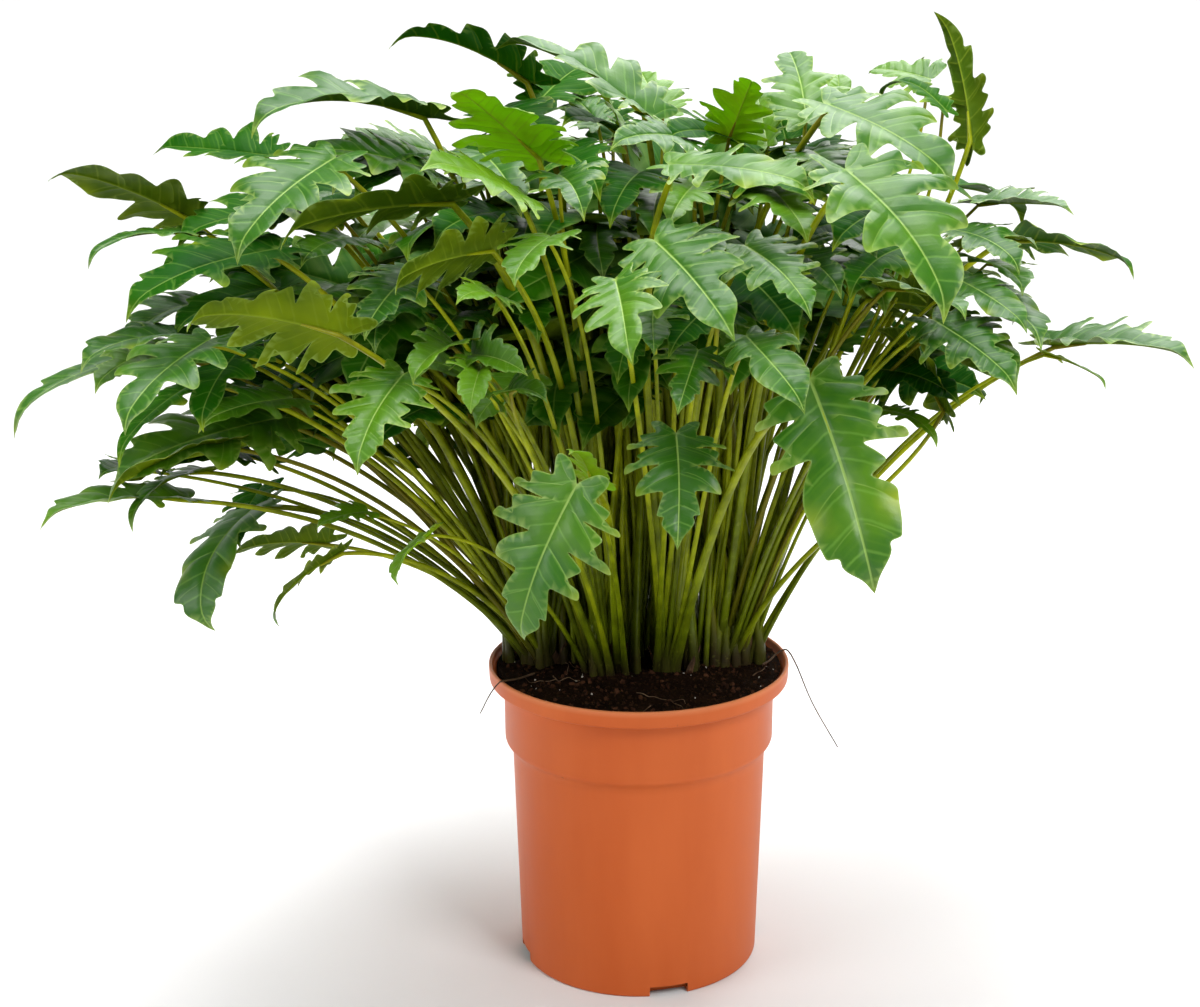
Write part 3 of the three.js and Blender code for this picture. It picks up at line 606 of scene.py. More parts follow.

# Each leaf in a row: form, neck (3 numbers), tip (3) and facing (3) in millimetres, droop and fold
# in degrees, tone from deep to lime and, where it clears its neighbours by one, a slide: back and
# lift of the leaf and sway of its stalk. Leaves deeper in the crown come last in each shoot.
# The tones are partly painted light: deep tones paint the shade on leaves under others, lighter
# tones paint the sheen on some leaves that face the lamps, and the limest undersides paint light
# shining through the leaf.
leaf_rows = {"shoot_left": [
    (broad, -150, -20, 675, -275, -100, 675, 0, -1, 10, 50, 20, -0.35),
    (broad, -285, 60, 640, -385, 85, 645, 0, -3, 10, 10, 22, -0.7),
    (long, -325, -30, 600, -415, -100, 645, 0, 6, 8, 25, 8, 0.05),
    (narrow, -315, -60, 595, -385, -130, 585, 0, -1, 10, 45, 12, -0.3),
    (broad, -225, -30, 615, -290, -110, 600, 0, -2, 10, 35, 12, -0.2),
    (broad, -295, -150, 535, -340, -235, 490, -2, -4, 8, 35, 10, -0.05),
    (narrow, -310, -110, 500, -355, -200, 460, 0, 2, 10, 35, 10, -0.43),
    (narrow, -340, -20, 500, -450, -130, 465, 0, -1, 10, 50, 14, -0.08),
    (broad, -345, -70, 515, -385, -130, 495, -1, -4, 8, 30, 10, 0.3, 0, 0, 24),
    (broad, -255, -100, 590, -345, -195, 560, 0, -3, 10, 35, 12, -0.75),
    (long, -270, -30, 580, -360, -90, 570, 0, -3, 10, 30, 12, -0.55, 60, 10, 0),
    (long, -320, -80, 525, -390, -150, 515, 0, -2, 10, 45, 14, -0.36),
    (young, -295, 10, 585, -365, 40, 575, 0, -2, 10, 25, 14, -0.07, 24, -10, 0),
    (long, -330, -90, 405, -420, -170, 410, 0, -1, 10, 30, 16, 0.3),
    (broad, -265, -60, 460, -375, -160, 435, 0, -3, 10, 30, 6, 0.2, 12, 0, 0),
    (long, -290, -40, 400, -320, -130, 320, -6, -4, 8, 80, 10, 0.0, 24, -10, 0),
    (broad, -240, -20, 350, -310, -70, 355, 0, 7, 7, 30, 12, -0.1),
    (narrow, -220, -70, 360, -265, -145, 325, -3, 6, 6, 45, 14, 0.0),
    (young, -200, -90, 395, -235, -115, 390, 0, -2, 10, 25, 14, 0.6),
    (broad, -280, -90, 520, -300, -170, 475, -2, -3, 8, 45, 12, -0.75, -12, 0, 0),
    (inner, -285, -20, 540, -300, -100, 530, 0, -4, 8, 40, 12, 0.16, 12, -10, 0),
    (long, -235, 10, 480, -315, -80, 465, 0, 3, 9, 30, 12, -0.32, 60, 0, 0),
    (inner, -250, -110, 485, -305, -180, 480, 0, -3, 9, 35, 12, 0.19, 12, 0, 0),
    (inner, -180, -50, 545, -185, -135, 525, -1, -5, 8, 40, 10, -0.34),
    (inner, -230, -10, 540, -245, -95, 520, -1, -5, 8, 40, 10, 0.04, 0, 10, 0),
    (inner, -162.8, 188.9, 593.6, -234, 279.3, 558.6, -2.6, 3, 8, 45, 12, -0.35),
    (inner, -227.2, 80.3, 597.3, -337.3, 114, 562.3, -3.8, 1.3, 8, 45, 12, -0.45, 0, 10, 0),
    (inner, -186, 211.2, 513.1, -260.9, 285.2, 453.1, -2.6, 3, 8, 45, 12, 0.25),
    (inner, -249.1, 96.6, 542.9, -347.1, 134.2, 482.9, -3.7, 1.4, 8, 45, 12, -0.28),
    (inner, -136.8, 184.5, 430.7, -196, 258.9, 355.7, -2.4, 3.2, 8, 45, 12, -0.28),
    (broad, -238, 10, 601, -333, -86, 593, 0, -2, 9, 35, 14, -0.6),
    (inner, -221, 0, 619, -287, -88, 588, -1, -4, 8, 35, 12, -0.9),
    (inner, -258, 0, 549, -338, -94, 529, 0, -3, 9, 35, 12, -0.55),
    (broad, -256, -20, 504, -313, -114, 493, -1, -4, 8, 35, 12, -0.9),
    (long, -252, 0, 458, -309, -87, 471, 0, 5, 8, 25, 12, 0.1),
    (inner, -270, 20, 474, -321, -70, 456, -2, -5, 7, 35, 12, -0.8),
    (long, -289, -80, 442, -375, -165, 427, 0, 5, 8, 25, 14, 0.15),
    (young, -294, 0, 391, -306, -48, 354, -4, -5, 7, 30, 12, -0.8),
    (inner, -293, -30, 423, -345, -115, 433, 0, -4, 9, 35, 12, -0.7),
    (narrow, -317, -60, 419, -362, -153, 400, 0, 3, 8, 60, 16, 0.0),
    (young, -182, -20, 652, -217, -94, 631, 0, -4, 8, 35, 12, -0.2),
    (young, -212, -40, 590, -239, -104, 581, 0, -5, 8, 35, 12, 0.1),
    (inner, -238, 20, 534, -275, -72, 516, -1, -5, 7, 35, 12, -0.9),
    (inner, -326, -20, 540, -366, -104, 522, 0, -2, 9, 35, 14, -0.2),
    (young, -366, -60, 419, -390, -114, 429, 0, -2, 10, 30, 16, -0.1),
], "shoot_front_left": [
    (broad, -210, -110, 655, -270, -190, 595, -0.5, -4, 9, 40, 14, 0.0),
    (broad, -65, -130, 655, -120, -210, 710, 2, 7, 7, 15, 6, 0.95),
    (broad, -75, -180, 635, -135, -250, 665, 0, -5, 9, 20, 10, 0.6),
    (broad, -115, -110, 680, -80, -190, 645, 0, -5, 8, 40, 14, -0.2, 60, -10, 0),
    (long, -120, -150, 630, -235, -230, 615, 0, 5, 8, 25, 10, -0.1),
    (broad, -95, -170, 600, -160, -245, 585, 0, 8, 6, 25, 8, 0.1),
    (broad, -190, -220, 550, -285, -285, 570, 0, 8, 6, 45, 6, 0.25),
    (young, -150, -110, 385, -175, -145, 355, -3, 3, 8, 50, 16, 0.8),
    (broad, -155, -200, 520, -180, -270, 470, -1, -6, 8, 35, 12, 0.3, -12, 0, 0),
    (young, -100, -170, 500, -150, -205, 530, -2, -4, 8, 40, 8, 0.35),
    (young, -80, -140, 520, -115, -180, 490, -1, -5, 8, 45, 10, 0.3, 24, -10, 0),
    (broad, -40, -260, 460, -80, -260, 350, -3, -8, 5, 30, 6, 0.05),
    (young, -30, -220, 450, -45, -250, 480, -2, -5, 8, 50, 14, 0.7),
    (young, -90, -220, 575, -115, -265, 580, 0, -6, 8, 50, 10, 0.5),
    (broad, -155, -180, 590, -180, -260, 560, 0, -5, 8, 45, 10, -0.33, 36, 0, 0),
    (broad, -55, -120, 640, -35, -190, 620, 0, -6, 8, 45, 20, -0.4, -24, 0, 0),
    (inner, -130, -60, 540, -145, -135, 525, 0, -6, 7, 45, 10, -0.21, 12, 0, 0),
    (inner, -145, -40, 595, -150, -130, 570, -1, -6, 7, 40, 10, 0.03),
    (inner, -85, -100, 560, -70, -185, 535, 0, -6, 7, 40, 10, -0.45, 48, 10, 0),
    (inner, -97, -60, 611, -141, -144, 602, 0, -4, 8, 35, 12, -0.7),
    (young, -58, -200, 612, -80, -253, 589, -3, -5, 6, 35, 12, 0.35),
    (inner, -160, -60, 547, -199, -146, 537, -1, -5, 7, 30, 10, -0.9),
    (broad, -149, -40, 466, -189, -131, 454, -1, -5, 7, 35, 12, -0.9),
    (young, -122, -200, 540, -147, -246, 523, -2, -6, 5, 70, 34, 0.35),
    (young, -110, -205, 534, -71, -244, 529, 1, -7, 4, 60, 38, 0.15),
    (young, -103, -215, 529, -108, -260, 506, -1, -7, 5, 80, 30, 0.4),
    (young, -88, -195, 507, -59, -230, 508, 0, -5, 7, 60, 30, 0.2),
], "shoot_front_right": [
    (broad, -15, -240, 590, -5, -310, 550, -3.2, -6, 7, 30, 12, 0.2),
    (broad, 10, -200, 610, 60, -280, 560, -2, -6, 7, 30, 6, 0.0),
    (young, 10, -200, 565, 10, -250, 545, 0, -6, 8, 40, 10, 0.1, 12, 0, 0),
    (broad, 40, -190, 535, 25, -250, 505, 1, -6, 8, 45, 8, 0),
    (broad, 25, -200, 480, 25, -270, 420, 0, -8, 6, 30, 8, -0.15),
    (long, 115, -190, 515, 155, -265, 385, -2, -7, 6, 35, 10, 0.15),
    (long, 70, -220, 550, 105, -290, 515, 0, -6, 8, 45, 12, -0.05, 0, 0, 12),
    (broad, 70, -190, 605, 110, -260, 570, 0, -6, 8, 30, 10, 0),
    (long, 20, -160, 655, 115, -215, 645, 0, -3, 10, 25, 12, 0.15),
    (broad, 40, -120, 645, 20, -190, 625, 0, -5, 8, 40, 12, 0.33, 48, 0, 0),
    (inner, 35, -90, 550, 25, -165, 530, 0, -6, 7, 45, 10, -0.43, 36, -10, 0),
    (inner, 15, -50, 635, 10, -125, 610, 0, -6, 7, 40, 10, 0.15, 0, -10, 0),
    (inner, 65, -110, 565, 70, -200, 535, 0, -6, 7, 40, 10, 0.23, 48, 0, 0),
    (inner, 5, -100, 535, -15, -185, 505, 0, -6, 7, 40, 10, -0.44, 24, 10, 0),
    (inner, 67, -60, 631, 120, -144, 632, 0, -4, 9, 30, 12, -0.6),
    (broad, 64, -110, 582, 106, -211, 547, 0, -6, 6, 30, 12, -0.95),
    (inner, 56, -150, 562, 19, -236, 542, 0, -6, 7, 35, 10, -0.95),
    (young, 35, -150, 606, 51, -207, 596, 1, -5, 8, 35, 12, -0.2),
], "shoot_right": [
    (broad, 205, 20, 505, 280, 60, 445, 2, -3, 9, 35, 12, -0.7),
    (broad, 135, -190, 655, 195, -275, 570, 2.3, -6, 7.6, 35, 20, 0.05),
    (narrow, 250, 0, 650, 230, 60, 750, 5, 6, 2, 25, 12, -0.2),
    (narrow, 225, -30, 680, 180, 25, 685, 0, -2, 10, 100, 12, -0.44),
    (broad, 245, -40, 615, 305, -105, 620, 0, -2, 10, 10, 22, -0.2),
    (long, 285, 40, 585, 385, -35, 570, 0, 5, 8, 35, 10, -0.6, 48, 0, 12),
    (long, 235, -30, 580, 285, -80, 590, 0, 3, 10, 30, 14, 0.31, -12, 0, 0),
    (broad, 225, -70, 590, 265, -135, 570, 0, -3, 10, 40, 12, -0.29, 0, 10, 0),
    (long, 225, -110, 570, 265, -170, 545, 0, -5, 8, 30, 10, -0.1),
    (broad, 305, -40, 510, 395, -120, 515, 0, -1, 10, 25, 24, -0.2),
    (narrow, 295, -70, 510, 335, -115, 495, 0, 5, 8, 20, 10, 0.3),
    (broad, 205, -130, 545, 255, -195, 510, 0, -5, 8, 30, 10, -0.1),
    (broad, 170, -60, 550, 220, -135, 545, 0, 5, 8, 20, 10, -0.17, -60, 0, 0),
    (long, 225, -120, 485, 180, -50, 540, 3, 6, 6, 20, 10, -0.03, 24, -10, 0),
    (broad, 105, -120, 600, 140, -185, 575, 0, -6, 8, 40, 12, -0.4, 36, 0, 12),
    (inner, 130, -40, 600, 170, -115, 585, 0, -5, 8, 40, 12, -0.36, 12, 0, 0),
    (inner, 100, -60, 555, 115, -130, 525, 0, -6, 7, 45, 10, 0.15, 24, 0, 0),
    (inner, 155, -50, 590, 175, -140, 565, 1, -5, 8, 40, 10, 0.19, 24, -10, 0),
    (inner, 77.5, 125.7, 646.7, 149.7, 204.5, 621.7, 2.1, 3.4, 8, 45, 12, 0.24),
    (inner, 220.9, 79.3, 618.9, 324.3, 131.7, 583.9, 3.8, 1.4, 8, 45, 12, -0.42, 24, 0, 0),
    (inner, 146, 166.9, 602.6, 213.9, 260.3, 567.6, 2.6, 3, 8, 45, 12, 0.31, 0, 0, 12),
    (inner, 222, 129.7, 552.7, 323.3, 164.4, 492.7, 3.5, 2, 8, 45, 12, -0.38),
    (inner, 181.6, 211.2, 554.8, 257.1, 284.7, 494.8, 2.6, 3, 8, 45, 12, -0.18),
    (broad, 193, -60, 586, 145, -138, 563, -1, -5, 8, 35, 12, -0.5),
    (inner, 167, -10, 598, 107, -83, 593, 0, -5, 8, 35, 12, -0.95),
    (broad, 168, -20, 543, 244, -116, 539, 0, 6, 5, 20, 12, -0.1),
    (broad, 191, 40, 473, 258, -50, 475, 0, -6, 5, 25, 12, -0.95),
    (long, 236, -60, 559, 279, -158, 533, 2, -4, 8, 30, 14, -0.35),
    (long, 215, -80, 533, 260, -174, 505, 1, -5, 8, 30, 14, -0.3),
    (narrow, 181, -60, 465, 217, -108, 449, 0, -3, 9, 60, 14, 0.7),
    (inner, 171, -90, 615, 130, -169, 602, 0, -5, 8, 35, 12, -0.9),
    (young, 252, -60, 575, 270, -122, 563, 2, -3, 8, 35, 16, 0.1),
    (inner, 175, -40, 492, 231, -112, 482, 0, -6, 6, 35, 10, -0.9),
], "shoot_back_right": [
    (broad, 130, -80, 690, 215, -155, 640, 0, -3, 10, 35, 14, 0.1),
    (broad, 120, -60, 675, 110, 15, 725, 0, -8, 5, 20, 6, 0.1, 0, 0, 12),
    (young, 225, 40, 705, 180, 80, 710, 0, -6, 8, 20, 12, 0.3, 24, 0, 0),
    (broad, 65, -40, 660, 80, -95, 710, 2, 6, 6, 20, 10, 0.9),
    (broad, 35, -80, 670, -20, -135, 670, 0, -6, 9, 30, 12, -0.2, 24, 0, 12),
    (long, 95, -20, 655, 90, 30, 690, -4, -4, 5, 25, 12, 0.5),
    (young, 150, 0, 680, 150, 35, 705, 0, -6, 7, 30, 12, 0.4),
    (broad, 125, -60, 655, 145, -135, 625, 0, -6, 8, 45, 12, 0),
    (inner, 50, 0, 625, 85, -75, 620, 0, -4, 9, 40, 12, -0.39, 36, 0, 0),
    (inner, 185, 30, 600, 220, -50, 575, 0, -4, 9, 40, 12, -0.33, 60, 0, 0),
    (inner, -30, -20, 600, -25, -100, 570, 0, -6, 7, 40, 10, 0.1),
    (inner, 95, -40, 620, 115, -125, 595, 0, -6, 8, 40, 10, 0.35, -36, 0, 0),
    (inner, 52.1, 236.7, 614.1, 88.2, 346.5, 579.1, 0.9, 3.9, 8, 45, 12, -0.32),
    (inner, 116.5, 252.6, 554.7, 151.2, 352.2, 494.7, 1.7, 3.6, 8, 45, 12, -0.41, 12, 0, 0),
    (inner, 122.9, 196.9, 463.8, 154.6, 289.1, 388.8, 2.1, 3.4, 8, 45, 12, 0.34),
    (inner, 73.7, 237.5, 445.3, 113.4, 324.7, 370.3, 1.2, 3.8, 8, 45, 12, -0.02, -12, 0, 0),
    (inner, 7.6, 215.2, 459.4, 28.1, 309.5, 384.4, 0.1, 4, 8, 45, 12, -0.13, 0, -10, 0),
    (young, -9, -10, 657, -29, 36, 690, 0, 6, 6, 15, 12, 0.6),
    (inner, 74, 0, 656, 17, -75, 665, 0, -5, 8, 35, 14, -0.9),
    (inner, 1, -60, 640, -20, -144, 614, 0, -5, 8, 35, 12, -0.7),
    (inner, 120, 0, 651, 150, -80, 645, 0, -4, 9, 35, 14, -0.8),
    (young, 111, 20, 657, 102, 72, 685, -2, -4, 7, 30, 14, -0.5),
], "shoot_back_left": [
    (broad, -80, 60, 695, -190, 25, 730, 0, 2, 10, 45, 24, -0.95),
    (broad, 10, -50, 680, -105, -25, 735, 0, -2, 10, 30, 22, -0.1, 12, 0, 0),
    (broad, -150, -60, 645, -240, -120, 665, -1, -5, 9, 20, 12, 0.05, 24, 0, 0),
    (broad, -150, 10, 650, -225, -45, 665, 0, -4, 9, 25, 12, 0.1, 24, 0, 0),
    (broad, 20, 30, 675, 0, 90, 705, 0, -7, 7, 25, 10, 0.3),
    (broad, -30, 40, 665, -60, 90, 685, 0, -6, 8, 30, 12, 0.1),
    (young, -30, -30, 655, -50, -75, 650, 0, -5, 8, 40, 12, 0.4, 0, 0, -12),
    (inner, -20, 60, 655, -25, 125, 680, 0, -6, 7, 30, 12, -0.42),
    (inner, -75, -30, 615, -85, -110, 580, 0, -6, 7, 45, 10, -0.06, 12, 0, 0),
    (inner, -180, 60, 595, -215, -15, 580, 0, -4, 9, 40, 12, 0.22),
    (inner, -125, 50, 625, -145, -40, 605, -1, -5, 8, 40, 10, -0.35, 24, 0, 0),
    (inner, -9.2, 145.7, 655.8, -14.4, 250.6, 630.8, -0.3, 4, 8, 45, 12, 0.14),
    (inner, -62.4, 125.8, 642.6, -117.5, 215.6, 617.6, -1.8, 3.6, 8, 45, 12, 0.31),
    (inner, -50.1, 248, 593.5, -59.6, 363.4, 558.5, -0.8, 3.9, 8, 45, 12, 0.05),
    (inner, -24.2, 277.2, 532, -22.7, 382.7, 472, -0.3, 4, 8, 45, 12, 0.18),
    (inner, -93.7, 225.3, 554.9, -147.5, 316.7, 494.9, -1.5, 3.7, 8, 45, 12, -0.36),
    (inner, -81.2, 222.9, 439.6, -112.5, 312.6, 364.6, -1.4, 3.8, 8, 45, 12, -0.1),
    (inner, -156, 0, 639, -204, -81, 625, 0, -4, 8, 35, 12, -0.5),
    (inner, -10, 20, 657, -55, -50, 676, 0, -4, 9, 35, 14, -0.8),
    (inner, -56, -60, 655, -26, -142, 632, 0, -5, 8, 35, 12, -0.6),
    (inner, -104, 20, 678, -59, -60, 655, 0, -4, 8, 35, 12, -0.8),
    (broad, -76, 60, 683, -31, 146, 706, 0, -5, 8, 30, 14, -0.5),
    (inner, -137, 0, 650, -85, -72, 637, 0, -5, 8, 35, 12, -0.6),
]}
crowns = {"shoot_left": (-70, 12), "shoot_front_left": (-24, -12), "shoot_front_right": (28, -10),
          "shoot_right": (78, 14), "shoot_back_right": (34, 44), "shoot_back_left": (-26, 44)}


def leaf(form, *row):
    """A leaf's form, neck, tip, facing, droop, fold, slide and tone from its row."""
    return form, row[:3], row[3:6], row[6:9], row[9], row[10], row[12:] or (0, 0, 0), row[11]


shoots = [(shoot, crowns[shoot], [leaf(*row) for row in rows]) for shoot, rows in leaf_rows.items()]
corner_reach = {"ear": 0.07, "bay": 0.030, "lobe": 0.038, "tooth": 0.014, "shoulder": 0.09}


def side_outline(form, draw, forks):
    """One side of a blade as corners with the reach of their rounding. Forks says how many of
    its lobes, from the base, part into two."""
    corners = [(-0.035, 0.022, 0.02)]
    before, count = None, 0
    for kind, a, w in form:
        a, w = a + draw.uniform(-0.014, 0.014), w * draw.uniform(0.94, 1.04)
        if kind == "bay":
            # a bay beside a wide lobe is cut deeper and further back
            a -= 0.045 if before[1] > 0.25 else 0.012
            w *= 0.58 if before[1] > 0.3 else 0.72
        if kind == "ear":
            corners.append((a - 0.005, w * 0.55, 0.05))
        if kind == "lobe" and before is not None:
            # the lower edge swells between the bay and the tip, or a second tip parts from it
            start, end = np.array(before), np.array([a, w])
            edge = end - start
            size = np.linalg.norm(edge)
            away = np.array([-edge[1], edge[0]]) / size
            if count < forks:
                split = draw.uniform(0.42, 0.52)
                swells = [(0.20, 0.10, 0.04), (split, draw.uniform(0.16, 0.22), 0.024),
                          (split + 0.07, -draw.uniform(0.10, 0.20), 0.022), (0.82, 0.10, 0.04)]
            else:
                swells = [(0.35, 0.12, 0.05), (0.75, 0.13, 0.05)]
            corners += [(*(start + t * edge + away * out * size), reach)
                        for t, out, reach in swells]
            count += 1
        if kind == "shoulder" and before is not None and before[0] < 0.7:
            start, end = np.array(before), np.array([a, w])
            swells = [(0.6, 0.4, 0.024, 0.06)]
            if forks > 1:
                swells += [(0.25, 0.75, 0.034, corner_reach["tooth"]), (0.22, 0.78, -0.022, 0.02)]
            corners += [(*(start * s + end * t + (0, out)), reach) for s, t, out, reach in swells]
        corners.append((a, w, corner_reach[kind]))
        before = (a, w)
    return corners + [(0.92, 0.035, 0.04), (0.98, 0.009, 0.02)]


def resampled(loop, step):
    """A closed loop with points added so that none are further apart than the step."""
    dense = []
    for start, end in zip(loop, loop[1:] + loop[:1]):
        count = max(1, int(np.ceil(np.linalg.norm(np.subtract(end, start)) / step)))
        dense += [np.array(start) + (np.subtract(end, start)) * k / count for k in range(count)]
    return dense


def away_from(points, start, end):
    """Distance of each point from the nearest of the segments, and how far along it that is."""
    run = end - start
    squared = np.maximum((run ** 2).sum(1), 1e-12)
    t = np.clip(((points[:, None] - start) * run).sum(2) / squared, 0, 1)
    gap = np.linalg.norm(points[:, None] - (start + t[..., None] * run), axis=2)
    nearest = gap.argmin(1)
    rows = np.arange(len(points))
    return gap[rows, nearest], nearest + t[rows, nearest]


def inside(points, loop):
    """Which of the points lie inside a closed loop."""
    crossings = np.zeros(len(points), int)
    for (ax, ay), (bx, by) in zip(loop, np.roll(loop, -1, 0)):
        spans = (ay > points[:, 1]) != (by > points[:, 1])
        with np.errstate(divide="ignore", invalid="ignore"):
            at = (bx - ax) * (points[:, 1] - ay) / (by - ay) + ax
        crossings += spans & (points[:, 0] < at)
    return crossings % 2 == 1


def across_of(step):
    """Unit vectors across a path, from its steps."""
    return np.stack([-step[:, 1], step[:, 0]], 1) / np.linalg.norm(step, axis=1)[:, None]


def bezier2(a, b, c, count):
    t = np.linspace(0, 1, count)[:, None]
    return (1 - t) ** 2 * np.array(a) + 2 * t * (1 - t) * np.array(b) + t * t * np.array(c)


# half widths of the veins on a blade one unit long, and how much the midrib narrows to the tip
midrib_core, midrib_fade, midrib_taper, vein_half = 0.0050, 0.0045, 0.72, 0.0042
# veins fainter than this show in the blade's relief but aren't pale
pale_strength = 0.5
edge_step, cell_size = 0.036, 0.06


def blade_template(form, variant, coarseness):
    """A flat blade split into triangles along its veins, with what its finish and relief need."""
    draw = np.random.default_rng(700 + 10 * variant + forms.index(form))
    inner_leaf = coarseness > 1
    forks = (3, 2, 1)[variant]
    right = side_outline(form, draw, forks)
    left = side_outline(form, draw, max(1, forks - 1 + variant % 2))
    corners = [(0, 0, 0.008), *right, (1, 0, 0),
               *[(a, -w, reach) for a, w, reach in reversed(left)]]
    loop = resampled(rounded([c[:2] for c in corners], [c[2] for c in corners]),
                     edge_step * coarseness)
    loop = np.array(loop[::2] if inner_leaf else loop)
    loop_after = np.roll(loop, -1, 0)

    def from_edge(points):
        return away_from(points, loop, loop_after)[0]

    veins = []
    tips = [(1.0, 0.0)]
    for hand, side in ((1, right), (-1, left)):
        ends = {kind: [(a, w) for a, w, reach in side if reach == corner_reach[kind]]
                for kind in ("ear", "lobe", "tooth")}
        tips += [(a, hand * w) for a, w in ends["lobe"]]
        a, w = ends["ear"][0]
        ear_vein = bezier2((0.005, 0), (-0.01, hand * w * 0.5), (a * 0.8, hand * w * 0.8), 6)
        veins.append((ear_vein, 0.55))
        for kind, first, slant, bulge, reach, steps, strength in (
                ("lobe", 0.015, 0.62, 0.62, 0.93, 7, 0.85),
                ("tooth", 0.01, 0.55, 0.60, 0.90, 6, 0.6)):
            for a, w in ends[kind]:
                root = max(first, a - slant * w - 0.02)
                middle = (root + 0.50 * (a - root), hand * bulge * w)
                vein = bezier2((root, 0), middle, (a - 0.004, hand * w * reach), steps)
                veins.append((vein, strength))
        for root, reach in ((0.60, 0.10), (0.74, 0.075)):
            veins.append((bezier2((root, 0), (root + 0.07, hand * reach * 0.65),
                                  (root + 0.17, hand * reach), 5), 0.45))
    stations = np.linspace(0.0, 0.965, 14 if inner_leaf else 22)
    midrib = np.stack([stations, np.zeros(len(stations))], 1)

    points, edges = list(loop), [(k, (k + 1) % len(loop)) for k in range(len(loop))]

    def add_row(row):
        """Adds the points of a row that lie inside the edge, joined into a line."""
        row = np.array(row)
        kept = row[inside(row, loop) & (from_edge(row) > 0.004)]
        edges.extend((len(points) + k, len(points) + k + 1) for k in range(len(kept) - 1))
        points.extend(kept)

    core = midrib_core * (1 - midrib_taper * stations)
    add_row(midrib[1:])
    for hand in (1, -1):
        for offset in (core, core + midrib_fade):
            add_row(midrib[1:] + np.stack([np.zeros(len(midrib)), hand * offset], 1)[1:])
    for vein, strength in veins:
        across = across_of(np.gradient(vein, axis=0))
        add_row(vein[1:])
        for hand in (1, -1) if strength > pale_strength and not inner_leaf else ():
            add_row((vein + hand * across * vein_half)[1:])

    # a second line of points just inside the edge, then an even spread over what is left
    inward = across_of(loop_after - np.roll(loop, 1, 0))
    if inside(loop + inward * 0.003, loop).mean() < 0.5:
        inward = -inward
    vein_starts = np.concatenate([v[:-1] for v, _ in veins] + [midrib[:-1]])
    vein_ends = np.concatenate([v[1:] for v, _ in veins] + [midrib[1:]])
    lined = (loop + inward * 0.009)[::2]
    cell = cell_size * coarseness
    grid = np.array([(a + 0.5 * cell * (row % 2), w)
                     for row, w in enumerate(np.arange(-0.5, 0.5, 0.87 * cell))
                     for a in np.arange(-0.2, 1.0, cell)])
    for extra, edge_gap, vein_gap in ((lined, 0.0075, 0.008), (grid, 0.02, 0.017)):
        clear = ((from_edge(extra) > edge_gap)
                 & (away_from(extra, vein_starts, vein_ends)[0] > vein_gap))
        points += list(extra[inside(extra, loop) & clear])

    for _ in range(2):
        flat, _, faces, *_ = delaunay_2d_cdt([Vector(p) for p in points], edges, [], 1, 1e-6)
        flat = np.array([tuple(p) for p in flat])
        faces = np.array(faces)
        # a triangle with all its corners on the edge gets a point in its middle
        bare = (from_edge(flat) < 1e-4)[faces].all(1)
        points += list(flat[faces[bare]].mean(1))
    corners_of = flat[faces]
    turn = np.cross(corners_of[:, 1] - corners_of[:, 0], corners_of[:, 2] - corners_of[:, 0])
    faces[turn < 0] = faces[turn < 0][:, ::-1]
    faces = faces[np.abs(turn) > 1e-9]

    gap_edge = from_edge(flat)
    on_edge = gap_edge < 1e-4
    along = np.clip(flat[:, 0], 0, 1)
    gap_mid = away_from(flat, midrib[:-1], midrib[1:])[0]
    core_here = midrib_core * (1 - midrib_taper * along)
    mid = np.clip(1 - (gap_mid - core_here - 1e-4) / midrib_fade, 0, 1) * (flat[:, 0] < 0.97)
    side_veins = np.zeros(len(flat))
    for vein, strength in veins:
        gap, at = away_from(flat, vein[:-1], vein[1:])
        fade = (strength > pale_strength) * strength * (1 - 0.55 * at / (len(vein) - 1))
        side_veins = np.maximum(side_veins, fade * np.clip(1 - gap / vein_half, 0, 1))
    gap_vein = np.minimum(away_from(flat, vein_starts, vein_ends)[0], 0.2)
    near_tip = np.min([np.linalg.norm(flat - tip, axis=1) for tip in tips], 0)
    # the blade swells between its veins, lies calm at its edge and hangs at the tips of its lobes
    calm = np.clip(gap_edge / 0.03, 0, 1)
    hang = 0.035 * np.clip(1 - near_tip / 0.17, 0, 1) ** 1.4
    puff = 0.011 * (1 - np.exp(-(gap_vein / 0.035) ** 2)) * calm - hang
    return {
        "flat": flat, "faces": faces, "on_edge": on_edge, "rim": on_edge * 1.0,
        "rib": np.maximum(mid, 0.75 * side_veins) * np.where(on_edge, 0.3, 1),
        "lime": np.clip(1 - near_tip / 0.11, 0, 1) ** 1.5,
        "upper": puff - 0.0035 * mid - 0.0014 * side_veins,
        "under": puff - (0.011 - 0.007 * along) * mid * (1 - on_edge) - 0.0028 * side_veins,
    }


templates = {(f, v, rough): blade_template(form, v, (1.0, 1.4)[rough])
             for f, form in enumerate(forms) for v in range(variants) for rough in (0, 1)}

blade_thickness = 0.5
bend_steps = 96
wave_phase = np.array([0.37, 0.61, 0.17])
# how far a blade one unit long strays from a plane fold, by cause
edge_curl, wave_height, ripple_height, ruffle_height, tip_hook = 0.35, 0.012, 0.016, 0.026, 0.035
rib_width, half_width = 0.01, 0.4


def unit(vector):
    return vector / np.linalg.norm(vector)


